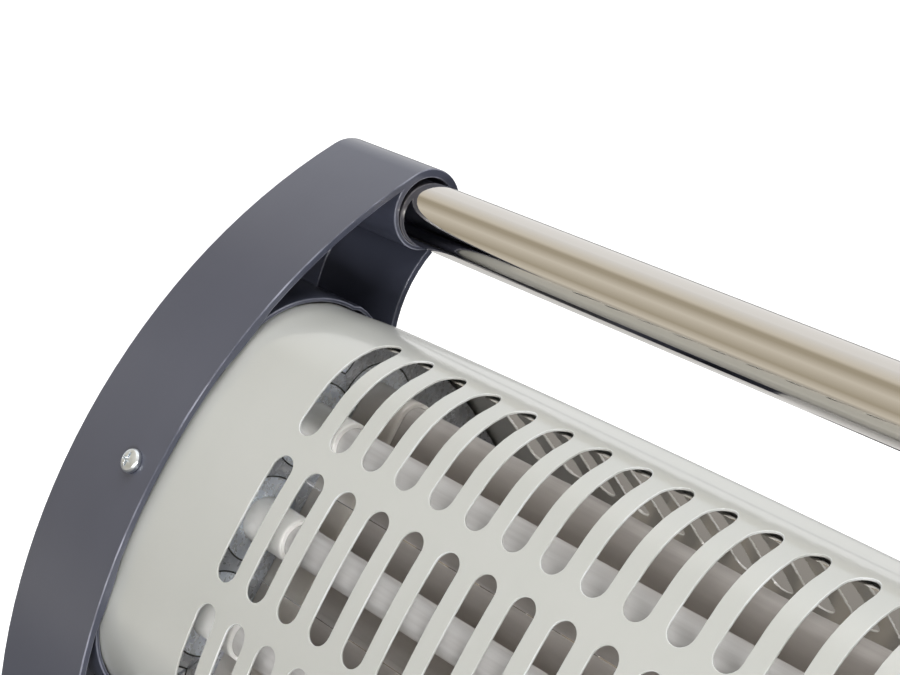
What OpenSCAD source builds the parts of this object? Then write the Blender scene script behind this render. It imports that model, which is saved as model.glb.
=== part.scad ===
// Three-bar parabolic heater, free standing: a slotted sheet body with quartz
// elements and polished troughs, held between two moulded end caps that are
// also its feet, with a round tube handle across the top.
// X runs along the heater, -Y is the front, Z = 0 is the floor.

/* [Overall] */
// Height of the middle of the grille above the floor
face_z = 174; // [170:1:180]
// Distance of the middle of the grille behind the front of the end caps
face_in = 46.7; // [45:0.1:52]
// Distance of the handle's axis behind the middle of the grille
handle_run = 105.3; // [102:0.1:112]
// Height of the handle's axis over the middle of the grille
handle_rise = 62; // [59:0.5:66]
// Distance of the handle's axis in front of the back of the end caps
handle_in = 20; // [18:0.5:23]

/* [End caps] */
// Width of one end cap along the heater
cap_w = 45; // [43:1:50]
// Wall of the moulded end caps
cap_wall = 2.4; // [2:0.1:2.6]
// How far below the middle of the grille the front of an end cap is foremost
bulge_drop = 127; // [122:1:132]
// Room between the body and the finger recess under the handle
recess_gap = 5.7; // [5.2:0.1:7]
// Direction from the handle to the recess's centre, below level
recess_angle = 60.6; // [58:0.2:64]
// Radius of the end cap's lower front corner
front_foot_r = 8; // [6:1:12]
// Radius of the end cap's lower rear corner
rear_foot_r = 10; // [8:1:14]
// Thickness of the rib that holds the end of the body
rib_t = 1.4; // [1.2:0.1:2]

/* [Handle] */
// Outside diameter of the handle tube
handle_d = 22; // [20:0.5:23]
// Wall of the handle tube
handle_wall = 1.2; // [1:0.1:2]
// Outside radius of the ring that holds the tube
boss_r = 14.2; // [13.8:0.1:15]
// Wall of that ring at its mouth
ring_t = 2.5; // [2:0.1:2.5]
// How far the tube goes into an end cap
handle_tuck = 28; // [24:1:30]

/* [Body] */
// Angle by which the grille leans back from upright
face_tilt = 37.7; // [36:0.1:39]
// Height of the body, measured along the grille
body_h = 146; // [140:1:147]
// Flat of the body's sides, between the front and the rear corners
side_land = 2.6; // [2:0.1:5]
// Radius of the gentle curve of the grille's front
face_r = 238; // [220:1:260]
// Radius of the body's front corners
front_corner_r = 36; // [30:1:37]
// Radius of the body's rear corners
rear_corner_r = 18; // [12:1:18]
// Thickness of the sheet steel
sheet_t = 0.8; // [0.6:0.1:1]
// How far the grille's sides reach round the rear corners
seam_over = 6; // [3:0.5:8]
// How far the rear housing tucks under the grille's sides
lap = 8; // [6:1:10]
// How far the body goes into each end cap
body_tuck = 30; // [26:1:32]

/* [Slots] */
// Number of slots in each row
slot_count = 18; // [12:1:22]
// Distance from slot to slot
slot_pitch = 15.35; // [14:0.05:16]
// Width of a slot
slot_w = 8.8; // [7:0.1:10]
// Plain sheet between an end cap and the first slot's middle
end_land = 46; // [44:1:52]
// Length of a slot in the middle row
middle_slot = 42; // [36:1:43]
// Plain sheet between the rows
row_land = 8.2; // [7:0.1:10]
// Height that a slot of the upper and lower rows spans, seen square to the grille
corner_slot = 37.6; // [30:0.2:38]

/* [Elements] */
// Distance between neighbouring elements
element_pitch = 33.5; // [33:0.5:36]
// Depth of the elements behind the grille's middle
element_d = 27; // [25:1:28]
// Outside diameter of a quartz tube
quartz_d = 12; // [10:0.5:12]
// Wall of a quartz tube
quartz_wall = 1.2; // [1:0.1:1.6]
// Outside diameter of the ceramic holders
ceramic_d = 15; // [14.6:0.1:16]
// Length of a ceramic holder in front of its plate
ceramic_len = 20; // [16:1:22]
// Distance of an element plate inside the end of the visible body
plate_in = 21; // [18:1:24]
// Thickness of the element plates
plate_t = 1; // [0.8:0.1:1.5]
// Distance from an element's axis to the bottom of its trough
focus = 10; // [9.5:0.5:11]
// Thickness of the reflector sheet
mirror_t = 0.6; // [0.5:0.1:0.8]
// Height of the outer wing of the upper and lower troughs over the element
wing = 28; // [24:1:28]

/* [Controls] */
// Diameter of the selector knob
knob_d = 38; // [32:1:44]
// Height of the knob over the end cap
knob_h = 17; // [14:1:22]
// Depth of the selector's axis behind the grille
selector_d = 30; // [28:1:32]
// Diameter of the selector shaft
shaft_d = 6; // [5:0.5:6.5]
// Travel of the tip-over plunger
plunger_travel = 5; // [3:0.5:6]
// Diameter of the tip-over plunger
plunger_d = 8; // [7:0.5:9]

/* [Feet and fixings] */
// Height of the rubber feet
foot_h = 3; // [2.5:0.5:5]
// Diameter of the rubber feet
foot_d = 16; // [12:1:20]
// Diameter of the screws' heads
screw_head_d = 8; // [7:0.5:8.5]
// Diameter of the screws' threads
screw_d = 3.9; // [3.5:0.1:4]
// Diameter of the cord that the gland takes
cord_d = 7.2; // [6:0.1:8]

/* [Hidden] */
$fn = 48;

fit = 0.05;         // radial clearance of a running or push fit
seat = 0.3;         // gap between pieces that rest on each other
clear = 0.4;        // gap between an end cap's rib and the body
loose = 0.25;       // radial clearance of a hole that a screw or bush passes
bite = 0.1;         // how far shapes of one piece run into each other
far = 400;          // longer than anything in the heater

depth = face_in + handle_run + handle_in;                  // over the end caps
handle_y = depth / 2 - handle_in;
handle_z = face_z + handle_rise;
face_y = depth / 2 - face_in;                              // in front of the middle
bulge_z = face_z - bulge_drop;
body_len = 2 * end_land + (slot_count - 1) * slot_pitch;   // between the end caps
half = body_len / 2;                                       // inner edge of an end cap
plate_x = half - plate_in;                                 // inner face of an element plate
cap_floor = cap_w - cap_wall;                              // inside of an end cap's outer wall
knob_gap = 0.8;                                            // knob over the end cap
shift_x = -(knob_h + knob_gap) / 2;                        // puts the origin mid-way in X
SIDES = [-1, 1];

// ---------- frames ----------

// Whole heater, moved so that the origin is in the middle of its box
module centred() {
    translate([shift_x, 0, 0]) children();
}

// The body's own frame: Y is the depth behind the grille, Z runs up along it
module in_body() {
    translate([0, -face_y, face_z]) rotate([-face_tilt, 0, 0]) children();
}

// The frame of one end of the heater: X runs outwards from the visible body
module at_end(side) {
    if (side > 0) translate([half, 0, 0]) children();
    else mirror([1, 0, 0]) translate([half, 0, 0]) children();
}

// A section drawn in Y and Z, stretched along X from x0 to x1
module along_x(x0, x1) {
    translate([x0, 0, 0]) rotate([90, 0, 90]) linear_extrude(x1 - x0) children();
}

// A round bar along X
module rod_x(d, x0, x1) {
    translate([x0, 0, 0]) rotate([0, 90, 0]) cylinder(d = d, h = x1 - x0);
}

function arc(c, r, a0, a1, n) =
    [for (i = [0:n]) let (a = a0 + (a1 - a0) * i / n) [c[0] + r * cos(a), c[1] + r * sin(a)]];

// A point of the body's frame, as Y and Z of the heater's frame
function body_point(d, z) = [
    -face_y + d * cos(face_tilt) + z * sin(face_tilt),
    face_z - d * sin(face_tilt) + z * cos(face_tilt)];

// A point of the heater's frame, in the body's frame
function to_body(x, y, z) = [
    x,
    (y + face_y) * cos(face_tilt) - (z - face_z) * sin(face_tilt),
    (y + face_y) * sin(face_tilt) + (z - face_z) * cos(face_tilt)];

// ---------- sections ----------

// Corners of the body's section, in the body's frame
corner_z = body_h / 2 - front_corner_r;
corner_y = face_r - sqrt(pow(face_r - front_corner_r, 2) - pow(corner_z, 2));
corner_a = atan2(corner_z, face_r - corner_y);
rear_c = [corner_y + side_land, body_h / 2 - rear_corner_r];
body_d = rear_c[0] + rear_corner_r;
seam_d = rear_c[0] + seam_over;

// Front arc of an end cap: touches the ring of the handle and stands furthest
// forward at bulge_z
bulge_rise = handle_z - bulge_z;
bulge_y = (handle_y * handle_y + bulge_rise * bulge_rise - pow(depth / 2 - boss_r, 2))
    / (2 * (handle_y + depth / 2 - boss_r));
bulge_r = bulge_y + depth / 2;
boss_end = atan2(bulge_rise, handle_y - bulge_y);
// Finger recess: touches the ring of the handle and passes the body's upper rear
// corner at recess_gap
to_recess_c = [cos(recess_angle), -sin(recess_angle)];
past_corner = rear_corner_r + recess_gap;
ring_from_corner = [handle_y, handle_z] + boss_r * to_recess_c - body_point(rear_c[0], rear_c[1]);
recess_r = (past_corner * past_corner - ring_from_corner * ring_from_corner)
    / (2 * (ring_from_corner * to_recess_c - past_corner));
recess_c = [handle_y, handle_z] + (boss_r + recess_r) * to_recess_c;
front_foot_drop = bulge_z - foot_h - front_foot_r;
front_foot_c = [
    bulge_y - sqrt(pow(bulge_r - front_foot_r, 2) - pow(front_foot_drop, 2)),
    foot_h + front_foot_r];
front_foot_a = 180 + atan2(front_foot_drop, bulge_y - front_foot_c[0]);
rear_foot_c = [depth / 2 - rear_foot_r, foot_h + rear_foot_r];
rear_edge = recess_c - rear_foot_c;
// Angle of the straight rear edge, up from the rear foot to the finger recess
rear_edge_a = atan2(rear_edge[1], rear_edge[0]) + asin((recess_r + rear_foot_r) / norm(rear_edge));
rear_lean = rear_edge_a - 90;

// An end cap's section, drawn in by inset
module cap_outline(inset) {
    polygon(concat(
        arc([handle_y, handle_z], boss_r - inset, -recess_angle, boss_end, 24),
        arc([bulge_y, bulge_z], bulge_r - inset, boss_end, front_foot_a, 36),
        arc(front_foot_c, front_foot_r - inset, front_foot_a, 270, 6),
        arc(rear_foot_c, rear_foot_r - inset, 270, 270 + rear_edge_a, 8),
        arc(recess_c, recess_r + inset, rear_edge_a + 90, 180 - recess_angle, 12)));
}

// The body's section, grown outwards or, below zero, drawn in
module body_outline(grow) {
    polygon(concat(
        arc([corner_y, corner_z], front_corner_r + grow, 90, 180 - corner_a, 14),
        arc([face_r, 0], face_r + grow, 180 - corner_a, 180 + corner_a, 8),
        arc([corner_y, -corner_z], front_corner_r + grow, 180 + corner_a, 270, 14),
        arc([rear_c[0], -rear_c[1]], rear_corner_r + grow, 270, 360, 9),
        arc(rear_c, rear_corner_r + grow, 0, 90, 9)));
}

// ---------- end caps ----------

skin_inset = 0.3;   // shapes inside an end cap end this far under its skin
rib_back = 2.2;     // the rib ends this far inside the cap's rim

// Ring that holds the handle: wide at its mouth, close round the tube's end
ring_step = 8;                     // length of the close fit
tube_stop = handle_tuck + seat;    // bottom of the tube's socket
handle_floor = 4;                  // wall between the socket and its screw's head
screw_recess = screw_head_d + 2.5;
mouth_off = [-0.2, -0.5];          // the mouth's axis from the ring's middle, as Y and Z
tube_off = [-0.7, -0.9];           // the tube's axis, lower still, so that it rests in the mouth
module at_ring(off = [0, 0]) {
    translate([0, handle_y + off[0], handle_z + off[1]]) children();
}
module ring_solid() {
    at_ring() rod_x(2 * (boss_r - skin_inset - bite), 0, cap_floor + bite);
}
module ring_holes() {
    at_ring(mouth_off) rod_x(2 * (boss_r - ring_t), -1, handle_tuck - ring_step);
    at_ring(tube_off) {
        rod_x(handle_d + 2 * fit, -1, tube_stop);
        rod_x(screw_d + 2 * loose, -1, cap_w + 1);
        rod_x(screw_recess, tube_stop + handle_floor, cap_w + 1);
    }
}

// Rib round the end of the body, open to the body's size
module rib_section() {
    difference() {
        body_outline(clear + rib_t);
        body_outline(clear);
    }
}

// Screw places: one through the front band, one up through the rib's underside
band_screw_x = 12;
band_screw_z = -3.4;
under_screw_x = 18;
under_screw_d = (corner_y + rear_c[0]) / 2;
pad_l = 24;         // height of the block behind the front band's screw
pad_t = 4;
pad_past = 6;       // the block ends this far past the screw
module band_pad() {
    translate([rib_back, -pad_t, band_screw_z - pad_l / 2])
        cube([band_screw_x + pad_past - rib_back, pad_t, pad_l]);
}

// Webs that stiffen the leg
web_t = 2;
web_x = 20;         // where they start inside the cap's rim
web_in = 52;        // their distance from the cap's front and back
module leg_webs() {
    intersection() {
        along_x(web_x, cap_floor + bite) cap_outline(cap_wall / 2);
        for (s = SIDES) translate([0, s * (depth / 2 - web_in) - web_t / 2, 0])
            cube([cap_w, web_t, handle_z]);
        in_body() translate([0, 0, -body_h / 2 - far]) cube([cap_w, far, far - clear - rib_t / 2]);
    }
}

// Cover that closes the right leg, and the posts that it is screwed to
cover_x = 9;
cover_t = 2;
cover_top = 148;
post_d = 8;
post_z = 66;        // height of the post beside the front
post_in = 18;       // its distance from the cap's front
post_out = 38;      // distance of the uppermost post from the finger recess
post_a = 220;       // and its direction from the recess's centre
post_yz = [
    front_foot_c + [13, 9],
    [bulge_y - bulge_r + post_in, post_z],
    rear_foot_c + [-12, 9],
    recess_c + (recess_r + post_out) * [cos(post_a), sin(post_a)]];
module cover_posts() {
    for (p = post_yz) translate([0, p[0], p[1]])
        rod_x(post_d, cover_x + cover_t + seat, cap_floor + bite);
}

foot_x = cap_w / 2;
foot_edge = 2;      // plain plastic left round a foot
foot_y = [front_foot_c[0] + foot_d / 2 + foot_edge, rear_foot_c[0] - foot_d / 2 - foot_edge];
foot_stem_d = 5;
selector_yz = body_point(selector_d, 0);
bush_d = shaft_d + 3.5;
plunger_y = 6;
lead_hole = 7;
lead_hole_x = cap_floor - 6;
lead_hole_z = -32;

// Frame of the gland: Z points out of the rear edge, square to it
gland_z = 66;
gland_y = rear_foot_c[0] + (rear_foot_r - (gland_z - rear_foot_c[1]) * sin(rear_lean)) / cos(rear_lean);
gland_d = cord_d + 5.2;
module at_gland() {
    at_end(1) translate([cap_w / 2, gland_y, gland_z]) rotate([rear_lean - 90, 0, 0]) children();
}

module cap_solid(side) {
    difference() {
        along_x(0, cap_w) cap_outline(0);
        along_x(-1, cap_floor) cap_outline(cap_wall);
    }
    intersection() {
        union() {
            ring_solid();
            in_body() along_x(rib_back, cap_floor + bite) rib_section();
            in_body() band_pad();
            leg_webs();
            if (side > 0) cover_posts();
        }
        along_x(0, cap_w) cap_outline(skin_inset);
    }
}

// Holes that both end caps have: handle, body, its two screws and the feet
module cap_holes() {
    ring_holes();
    in_body() {
        along_x(-1, cap_floor) body_outline(clear);
        translate([band_screw_x, 1, band_screw_z]) rotate([90, 0, 0])
            cylinder(d = screw_d + 2 * loose, h = 20);
        translate([under_screw_x, under_screw_d, 0]) mirror([0, 0, 1])
            cylinder(d = screw_d + 2 * loose, h = body_h / 2 + 8);
    }
    for (y = foot_y) translate([foot_x, y, 0]) cylinder(d = foot_stem_d + 2 * fit, h = 12);
}

// Holes of the right end cap alone: selector, tip-over plunger, leads, posts
module control_holes() {
    translate([0, selector_yz[0], selector_yz[1]]) rod_x(bush_d + 2 * loose, cap_floor - 1, cap_w + 1);
    translate([foot_x, plunger_y, 0]) cylinder(d = plunger_d + 2 * clear, h = 12);
    in_body() translate([lead_hole_x, body_d - 4, lead_hole_z]) rotate([-90, 0, 0])
        cylinder(d = lead_hole, h = 12);
    for (p = post_yz) translate([0, p[0], p[1]]) rod_x(screw_d + 2 * fit, -1, cover_x + cover_t + cover_screw_l + 3);
}
module left_end_cap() {
    color("slategray") at_end(-1) difference() {
        cap_solid(-1);
        cap_holes();
    }
}
module right_end_cap() {
    color("slategray") difference() {
        at_end(1) difference() {
            cap_solid(1);
            cap_holes();
            control_holes();
        }
        at_gland() translate([0, 0, -20]) cylinder(d = gland_d + 2 * loose, h = 40);
    }
}

// ---------- handle ----------
handle_half = half + handle_tuck;
plug_len = 18;
module handle_tube() {
    color("silver") at_ring(tube_off) difference() {
        rod_x(handle_d, -handle_half, handle_half);
        rod_x(handle_d - 2 * handle_wall, -handle_half - 1, handle_half + 1);
    }
}
module handle_plug(side) {
    color("dimgray") at_end(side) at_ring(tube_off) difference() {
        rod_x(handle_d - 2 * handle_wall - 2 * fit, handle_tuck - plug_len, handle_tuck);
        rod_x(screw_d + 2 * fit, handle_tuck - plug_len - 1, handle_tuck + 1);
    }
}
module left_handle_plug() { handle_plug(-1); }
module right_handle_plug() { handle_plug(1); }

// Screw with its head above Z = 0 and its shank below
head_h = 2.6;
cross_t = 1.4;      // depth of the cross in the head
cross_w = 1;
cross_l = 4.5;
handle_screw_l = 16;
sheet_screw_l = 8;
band_screw_l = 12;
under_screw_l = 10;
cutout_screw_l = 6;
cover_screw_l = 12;
module screw_head() {
    rotate_extrude() polygon([[0, 0], [screw_head_d / 2, 0], [screw_head_d / 2, head_h * 0.45],
        [screw_head_d * 0.44, head_h * 0.75], [screw_head_d * 0.3, head_h * 0.94], [0, head_h]]);
}
module screw(len) {
    difference() {
        union() {
            translate([0, 0, -len]) cylinder(d = screw_d, h = len + bite);
            screw_head();
        }
        for (a = [0, 90]) rotate([0, 0, a]) translate([-cross_l / 2, -cross_w / 2, head_h - cross_t])
            cube([cross_l, cross_w, cross_t + 1]);
    }
}
module handle_screws() {
    color("gainsboro") for (s = SIDES) at_end(s) at_ring(tube_off)
        translate([tube_stop + handle_floor, 0, 0]) rotate([0, 90, 0]) screw(handle_screw_l);
}

// ---------- body ----------
sheet_half = half + body_tuck;
housing_grow = -sheet_t - fit;
module sheet_section(grow) {
    difference() {
        body_outline(grow);
        body_outline(grow - sheet_t);
    }
}

// One slot, seen square to the grille, from z0 to z1
module slot(z0, z1) {
    translate([0, corner_y - sheet_t, 0]) rotate([90, 0, 0]) linear_extrude(corner_y) {
        translate([0, z0 + slot_w / 2]) circle(d = slot_w, $fn = 32);
        translate([0, z1 - slot_w / 2]) circle(d = slot_w, $fn = 32);
        translate([-slot_w / 2, z0 + slot_w / 2]) square([slot_w, z1 - z0 - slot_w]);
    }
}
corner_slot_z = middle_slot / 2 + row_land;
module slots() {
    for (i = [0:slot_count - 1]) translate([-half + end_land + i * slot_pitch, 0, 0]) {
        slot(-middle_slot / 2, middle_slot / 2);
        slot(corner_slot_z, corner_slot_z + corner_slot);
        slot(-corner_slot_z - corner_slot, -corner_slot_z);
    }
}
module cap_screw_holes(d) {
    for (s = SIDES) at_end(s) {
        translate([band_screw_x, 0, band_screw_z]) rotate([90, 0, 0])
            cylinder(d = d, h = 40, center = true);
        translate([under_screw_x, under_screw_d, -body_h / 2]) cylinder(d = d, h = 20, center = true);
    }
}
housing_screw_d = seam_d - lap / 2;
housing_screw_in = 49;      // the outer screws' distance from the end caps
housing_screw_x = [housing_screw_in - half, 0, half - housing_screw_in];
module housing_screw_holes(d) {
    for (x = housing_screw_x) translate([x, housing_screw_d, -body_h / 2])
        cylinder(d = d, h = 20, center = true);
}
module front_grille() {
    color("lightgray") in_body() difference() {
        along_x(-sheet_half, sheet_half) difference() {
            sheet_section(0);
            translate([seam_d, -body_h]) square([body_d, 2 * body_h]);
        }
        slots();
        cap_screw_holes(screw_d + 2 * fit);
        housing_screw_holes(screw_d + 2 * fit);
    }
}
vent_w = 5;
vent_h = 26;
vent_pitch = 12;
vent_z = 30;                // height of the two rows of vents over and under the middle
vent_margin = 44;           // plain sheet beside the last vent
vent_count = 2 * floor((half - vent_margin) / vent_pitch) + 1;
module rear_housing() {
    color("lightgray") in_body() difference() {
        along_x(-sheet_half, sheet_half) difference() {
            sheet_section(housing_grow);
            translate([-body_d, -body_h]) square([body_d + seam_d - lap, 2 * body_h]);
        }
        cap_screw_holes(screw_d + 2 * fit);
        housing_screw_holes(screw_d + 2 * fit);
        for (i = [0:vent_count - 1], z = [-vent_z, vent_z])
            translate([(i - (vent_count - 1) / 2) * vent_pitch, body_d, z])
                cube([vent_w, 10, vent_h], center = true);
    }
}
module housing_screws() {
    color("gainsboro") in_body() for (x = housing_screw_x)
        translate([x, housing_screw_d, -body_h / 2]) mirror([0, 0, 1]) screw(sheet_screw_l);
}
// Front screw's seat: where the end cap's front arc crosses the screw's axis
screw_yz = body_point(0, band_screw_z);
seat_b = (screw_yz[0] - bulge_y) * -cos(face_tilt) + (screw_yz[1] - bulge_z) * sin(face_tilt);
seat_c = pow(screw_yz[0] - bulge_y, 2) + pow(screw_yz[1] - bulge_z, 2) - bulge_r * bulge_r;
band_proud = -seat_b + sqrt(seat_b * seat_b - seat_c) + 0.15;
module cap_screws(side) {
    color("gainsboro") in_body() at_end(side) {
        translate([band_screw_x, -band_proud, band_screw_z]) rotate([90, 0, 0]) screw(band_screw_l);
        translate([under_screw_x, under_screw_d, -body_h / 2 - clear - rib_t]) mirror([0, 0, 1])
            screw(under_screw_l);
    }
}
module left_cap_screws() { cap_screws(-1); }
module right_cap_screws() { cap_screws(1); }

// ---------- elements ----------
cup = 8;            // depth of the holder's cup for the quartz tube
collar_d = ceramic_d + 5;
collar_t = 4;
pin_d = 4;
pin_out = 18;       // pin's length behind the element plate
strip_w = 7;        // width of a reflector's tabs
strip_out = 2;      // how far they reach past the element plates
strip_hole = 0.8;   // play of the tabs in their slots
coil_d = quartz_d - 2 * quartz_wall - 1;
coil_wall = 1;
coil_stop = 6;      // the winding's ends are close-wound over this length
quartz_half = plate_x - ceramic_len + cup - seat;

// Trough of a parabola about an element: the sheet from z0 to z1 above its axis
function dish(z) = element_d + focus - z * z / (4 * focus);
function dish_point(z, off) =
    let (s = z / (2 * focus), n = sqrt(1 + s * s)) [dish(z) + off / n, z + off * s / n];
dish_steps = 20;
module trough(z0, z1) {
    polygon(concat(
        [for (i = [0:dish_steps]) dish_point(z0 + (z1 - z0) * i / dish_steps, 0)],
        [for (i = [dish_steps:-1:0]) dish_point(z0 + (z1 - z0) * i / dish_steps, mirror_t)]));
}
module reflector(k) {
    edge = element_pitch / 2 - seat / 2 - mirror_t;
    hi = k > 0 ? wing : edge;
    lo = k < 0 ? -wing : -edge;
    color("gray") in_body() translate([0, 0, k * element_pitch]) {
        along_x(-plate_x + seat, plate_x - seat) trough(lo, hi);
        translate([-plate_x - plate_t - strip_out, element_d + focus, -strip_w / 2])
            cube([2 * (plate_x + plate_t + strip_out), mirror_t, strip_w]);
    }
}
module reflector_top() { reflector(1); }
module reflector_middle() { reflector(0); }
module reflector_bottom() { reflector(-1); }

plate_grow = housing_grow - sheet_t - seat;
module element_plate(side) {
    color("lightslategray") in_body() difference() {
        at_end(side) along_x(-plate_in, -plate_in + plate_t) body_outline(plate_grow);
        for (k = [-1:1]) translate([0, 0, k * element_pitch]) {
            translate([0, element_d, 0]) rod_x(ceramic_d + 2 * loose, -far, far);
            translate([-far, element_d + focus - strip_hole / 2, -strip_w / 2 - strip_hole / 2])
                cube([2 * far, mirror_t + strip_hole, strip_w + strip_hole]);
        }
        translate([0, return_d, return_z]) rod_x(lead_d + 2 * seat, -far, far);
        if (side > 0) cutout_frame() for (z = [-1, 1])
            translate([0, 0, z * cutout_hole]) rod_x(screw_d + 2 * fit, -10, 10);
    }
}
module left_element_plate() { element_plate(-1); }
module right_element_plate() { element_plate(1); }

module quartz_tube(k) {
    color("whitesmoke") in_body() translate([0, element_d, k * element_pitch]) difference() {
        rod_x(quartz_d, -quartz_half, quartz_half);
        rod_x(quartz_d - 2 * quartz_wall, -far, far);
    }
}
module heating_coil(k) {
    color("peru") in_body() translate([0, element_d, k * element_pitch]) difference() {
        rod_x(coil_d, -quartz_half, quartz_half);
        rod_x(coil_d - 2 * coil_wall, -quartz_half + coil_stop, quartz_half - coil_stop);
    }
}
module quartz_tube_top() { quartz_tube(1); }
module quartz_tube_middle() { quartz_tube(0); }
module quartz_tube_bottom() { quartz_tube(-1); }
module heating_coil_top() { heating_coil(1); }
module heating_coil_middle() { heating_coil(0); }
module heating_coil_bottom() { heating_coil(-1); }

// Holder: a cup for the tube in front of the plate and a collar behind it
module ceramic(side, k) {
    x_in = -plate_in - ceramic_len;
    x_back = -plate_in + plate_t + seat;
    color("ivory") in_body() at_end(side) translate([0, element_d, k * element_pitch]) difference() {
        union() {
            rod_x(ceramic_d, x_in, x_back + bite);
            rod_x(collar_d, x_back, x_back + collar_t);
        }
        rod_x(quartz_d + 2 * fit, x_in - 1, x_in + cup);
        rod_x(pin_d + 2 * fit, x_in, x_back + collar_t + 1);
    }
}
module left_ceramic_top() { ceramic(-1, 1); }
module left_ceramic_middle() { ceramic(-1, 0); }
module left_ceramic_bottom() { ceramic(-1, -1); }
module right_ceramic_top() { ceramic(1, 1); }
module right_ceramic_middle() { ceramic(1, 0); }
module right_ceramic_bottom() { ceramic(1, -1); }

nut_af = 7;
nut_t = 3;
bar_t = 1;
nut_x = -plate_in + plate_t + seat + collar_t + seat;
module terminal_pins(side) {
    color("goldenrod") in_body() at_end(side) for (k = [-1:1])
        translate([0, element_d, k * element_pitch])
            rod_x(pin_d, quartz_half - half + seat, -plate_in + pin_out);
}
module left_terminal_pins() { terminal_pins(-1); }
module right_terminal_pins() { terminal_pins(1); }

// Hexagon nut along X
module hex_nut(af, bore, x0, t) {
    difference() {
        translate([x0, 0, 0]) rotate([0, 90, 0]) cylinder(d = af / cos(30), h = t, $fn = 6);
        rod_x(bore, x0 - 1, x0 + t + 1);
    }
}
module terminal_nuts() {
    color("gold") in_body() for (s = SIDES) at_end(s) for (k = [-1:1])
        translate([0, element_d, k * element_pitch]) {
            hex_nut(nut_af, pin_d + 2 * fit, nut_x, nut_t);
            hex_nut(nut_af, pin_d + 2 * fit, nut_x + nut_t + bar_t + 2 * seat, nut_t);
        }
}
bar_x = nut_x + nut_t + seat;
bar_w = 10;
module left_link_bar() {
    bar_l = 2 * element_pitch + bar_w;
    color("gold") in_body() at_end(-1) difference() {
        translate([bar_x, element_d - bar_w / 2, -bar_l / 2]) cube([bar_t, bar_w, bar_l]);
        for (k = [-1:1]) translate([0, element_d, k * element_pitch])
            rod_x(pin_d + 2 * fit, bar_x - 1, bar_x + 2);
    }
}

// ---------- leads ----------
lead_d = 2.4;
return_d = element_d + focus + 12;
return_z = -element_pitch / 2;

// A round lead through points, as a swept skin of eight sides; across() carries
// one direction square to the way along it, so that the skin doesn't twist
function unit(v) = v / norm(v);
function across(dirs, u, i = 0) = i == len(dirs) ? [] :
    let (w = unit(u - (u * dirs[i]) * dirs[i])) concat([w], across(dirs, w, i + 1));
function lead_ring(p, dir, u, r) =
    let (v = cross(dir, u)) [for (k = [0:7]) p + r * (cos(45 * k) * u + sin(45 * k) * v)];
module lead(p) {
    n = len(p);
    dirs = [for (i = [0:n - 1]) unit(p[min(i + 1, n - 1)] - p[max(i - 1, 0)])];
    us = across(dirs, abs(dirs[0][1]) > 0.7 ? [0, 0, 1] : [0, 1, 0]);
    points = [for (i = [0:n - 1]) each lead_ring(p[i], dirs[i], us[i], lead_d / 2)];
    sides = [for (i = [0:n - 2], k = [0:7]) let (a = 8 * i + k, b = 8 * i + (k + 1) % 8)
        each [[a, b, a + 8], [b, b + 8, a + 8]]];
    polyhedron(points, concat([[for (k = [7:-1:0]) k]], sides, [[for (k = [0:7]) 8 * (n - 1) + k]]));
}
// Smooth way from a to b: leaves a along X, reaches b along X
function ease(t) = t * t * (3 - 2 * t);
function lead_way(a, b, n) = [for (i = [0:n]) let (t = i / n, e = ease(t))
    [a[0] + (b[0] - a[0]) * t, a[1] + (b[1] - a[1]) * e, a[2] + (b[2] - a[2]) * e]];

switch_w = 28;
switch_t = 17;
tag_l = 5;
tag_w = 4;
tag_t = 0.8;
tag_pitch = 8;
switch_back = cap_floor - seat - switch_t;
module selector_leads() {
    color("firebrick") in_body() at_end(1) for (k = [-1:1])
        lead(lead_way([-plate_in + pin_out + seat, element_d, k * element_pitch],
            [switch_back - tag_l - seat, selector_d, k * tag_pitch], 12));
}

// Way of the return lead at its two ends, outwards from the visible body: off
// the link bar on the left, up to the cut-out's lower spade on the right
module return_lead() {
    bar_face = bar_x + bar_t + seat + lead_d / 2;
    start = [[bar_face, element_d + 1, return_z], [bar_face, element_d + 9, return_z],
        [bar_face - 1.5, return_d - 7, return_z], [bar_face - 4, return_d - 2.5, return_z],
        [bar_face - 7.5, return_d, return_z]];
    spade = [spade_x + 2 * seat, cutout_d + 0.3, cutout_z - spade_z];
    finish = [[-plate_in + 8, return_d, return_z], [-plate_in + 13, return_d, return_z + 1],
        [-plate_in + 18, return_d + 1, return_z + 5], [-plate_in + 20, return_d + 2, return_z + 13],
        [-plate_in + 20, return_d + 2, spade[2] - 12], spade + [6, 3, -5], spade + [3, 1, -1], spade];
    color("white") in_body() lead(concat(
        [for (p = start) [-half - p[0], p[1], p[2]]],
        [for (p = finish) [half + p[0], p[1], p[2]]]));
}

// Ways of the two supply leads, from the terminal block to the cut-out and to
// the selector's common tag, in the body's frame
block_l = 30;
block_h = 16;
block_w = 15;
block_yz = [38, 50];
lead_gap = 1.6;
cutout_d = element_d + focus + 9;
cutout_z = element_pitch / 2;
cutout_t = 7;
cutout_hole = 12;
spade_z = 4;
spade_x = -plate_in + plate_t + cutout_t + tag_l;
common_d = selector_d + 10;

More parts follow.
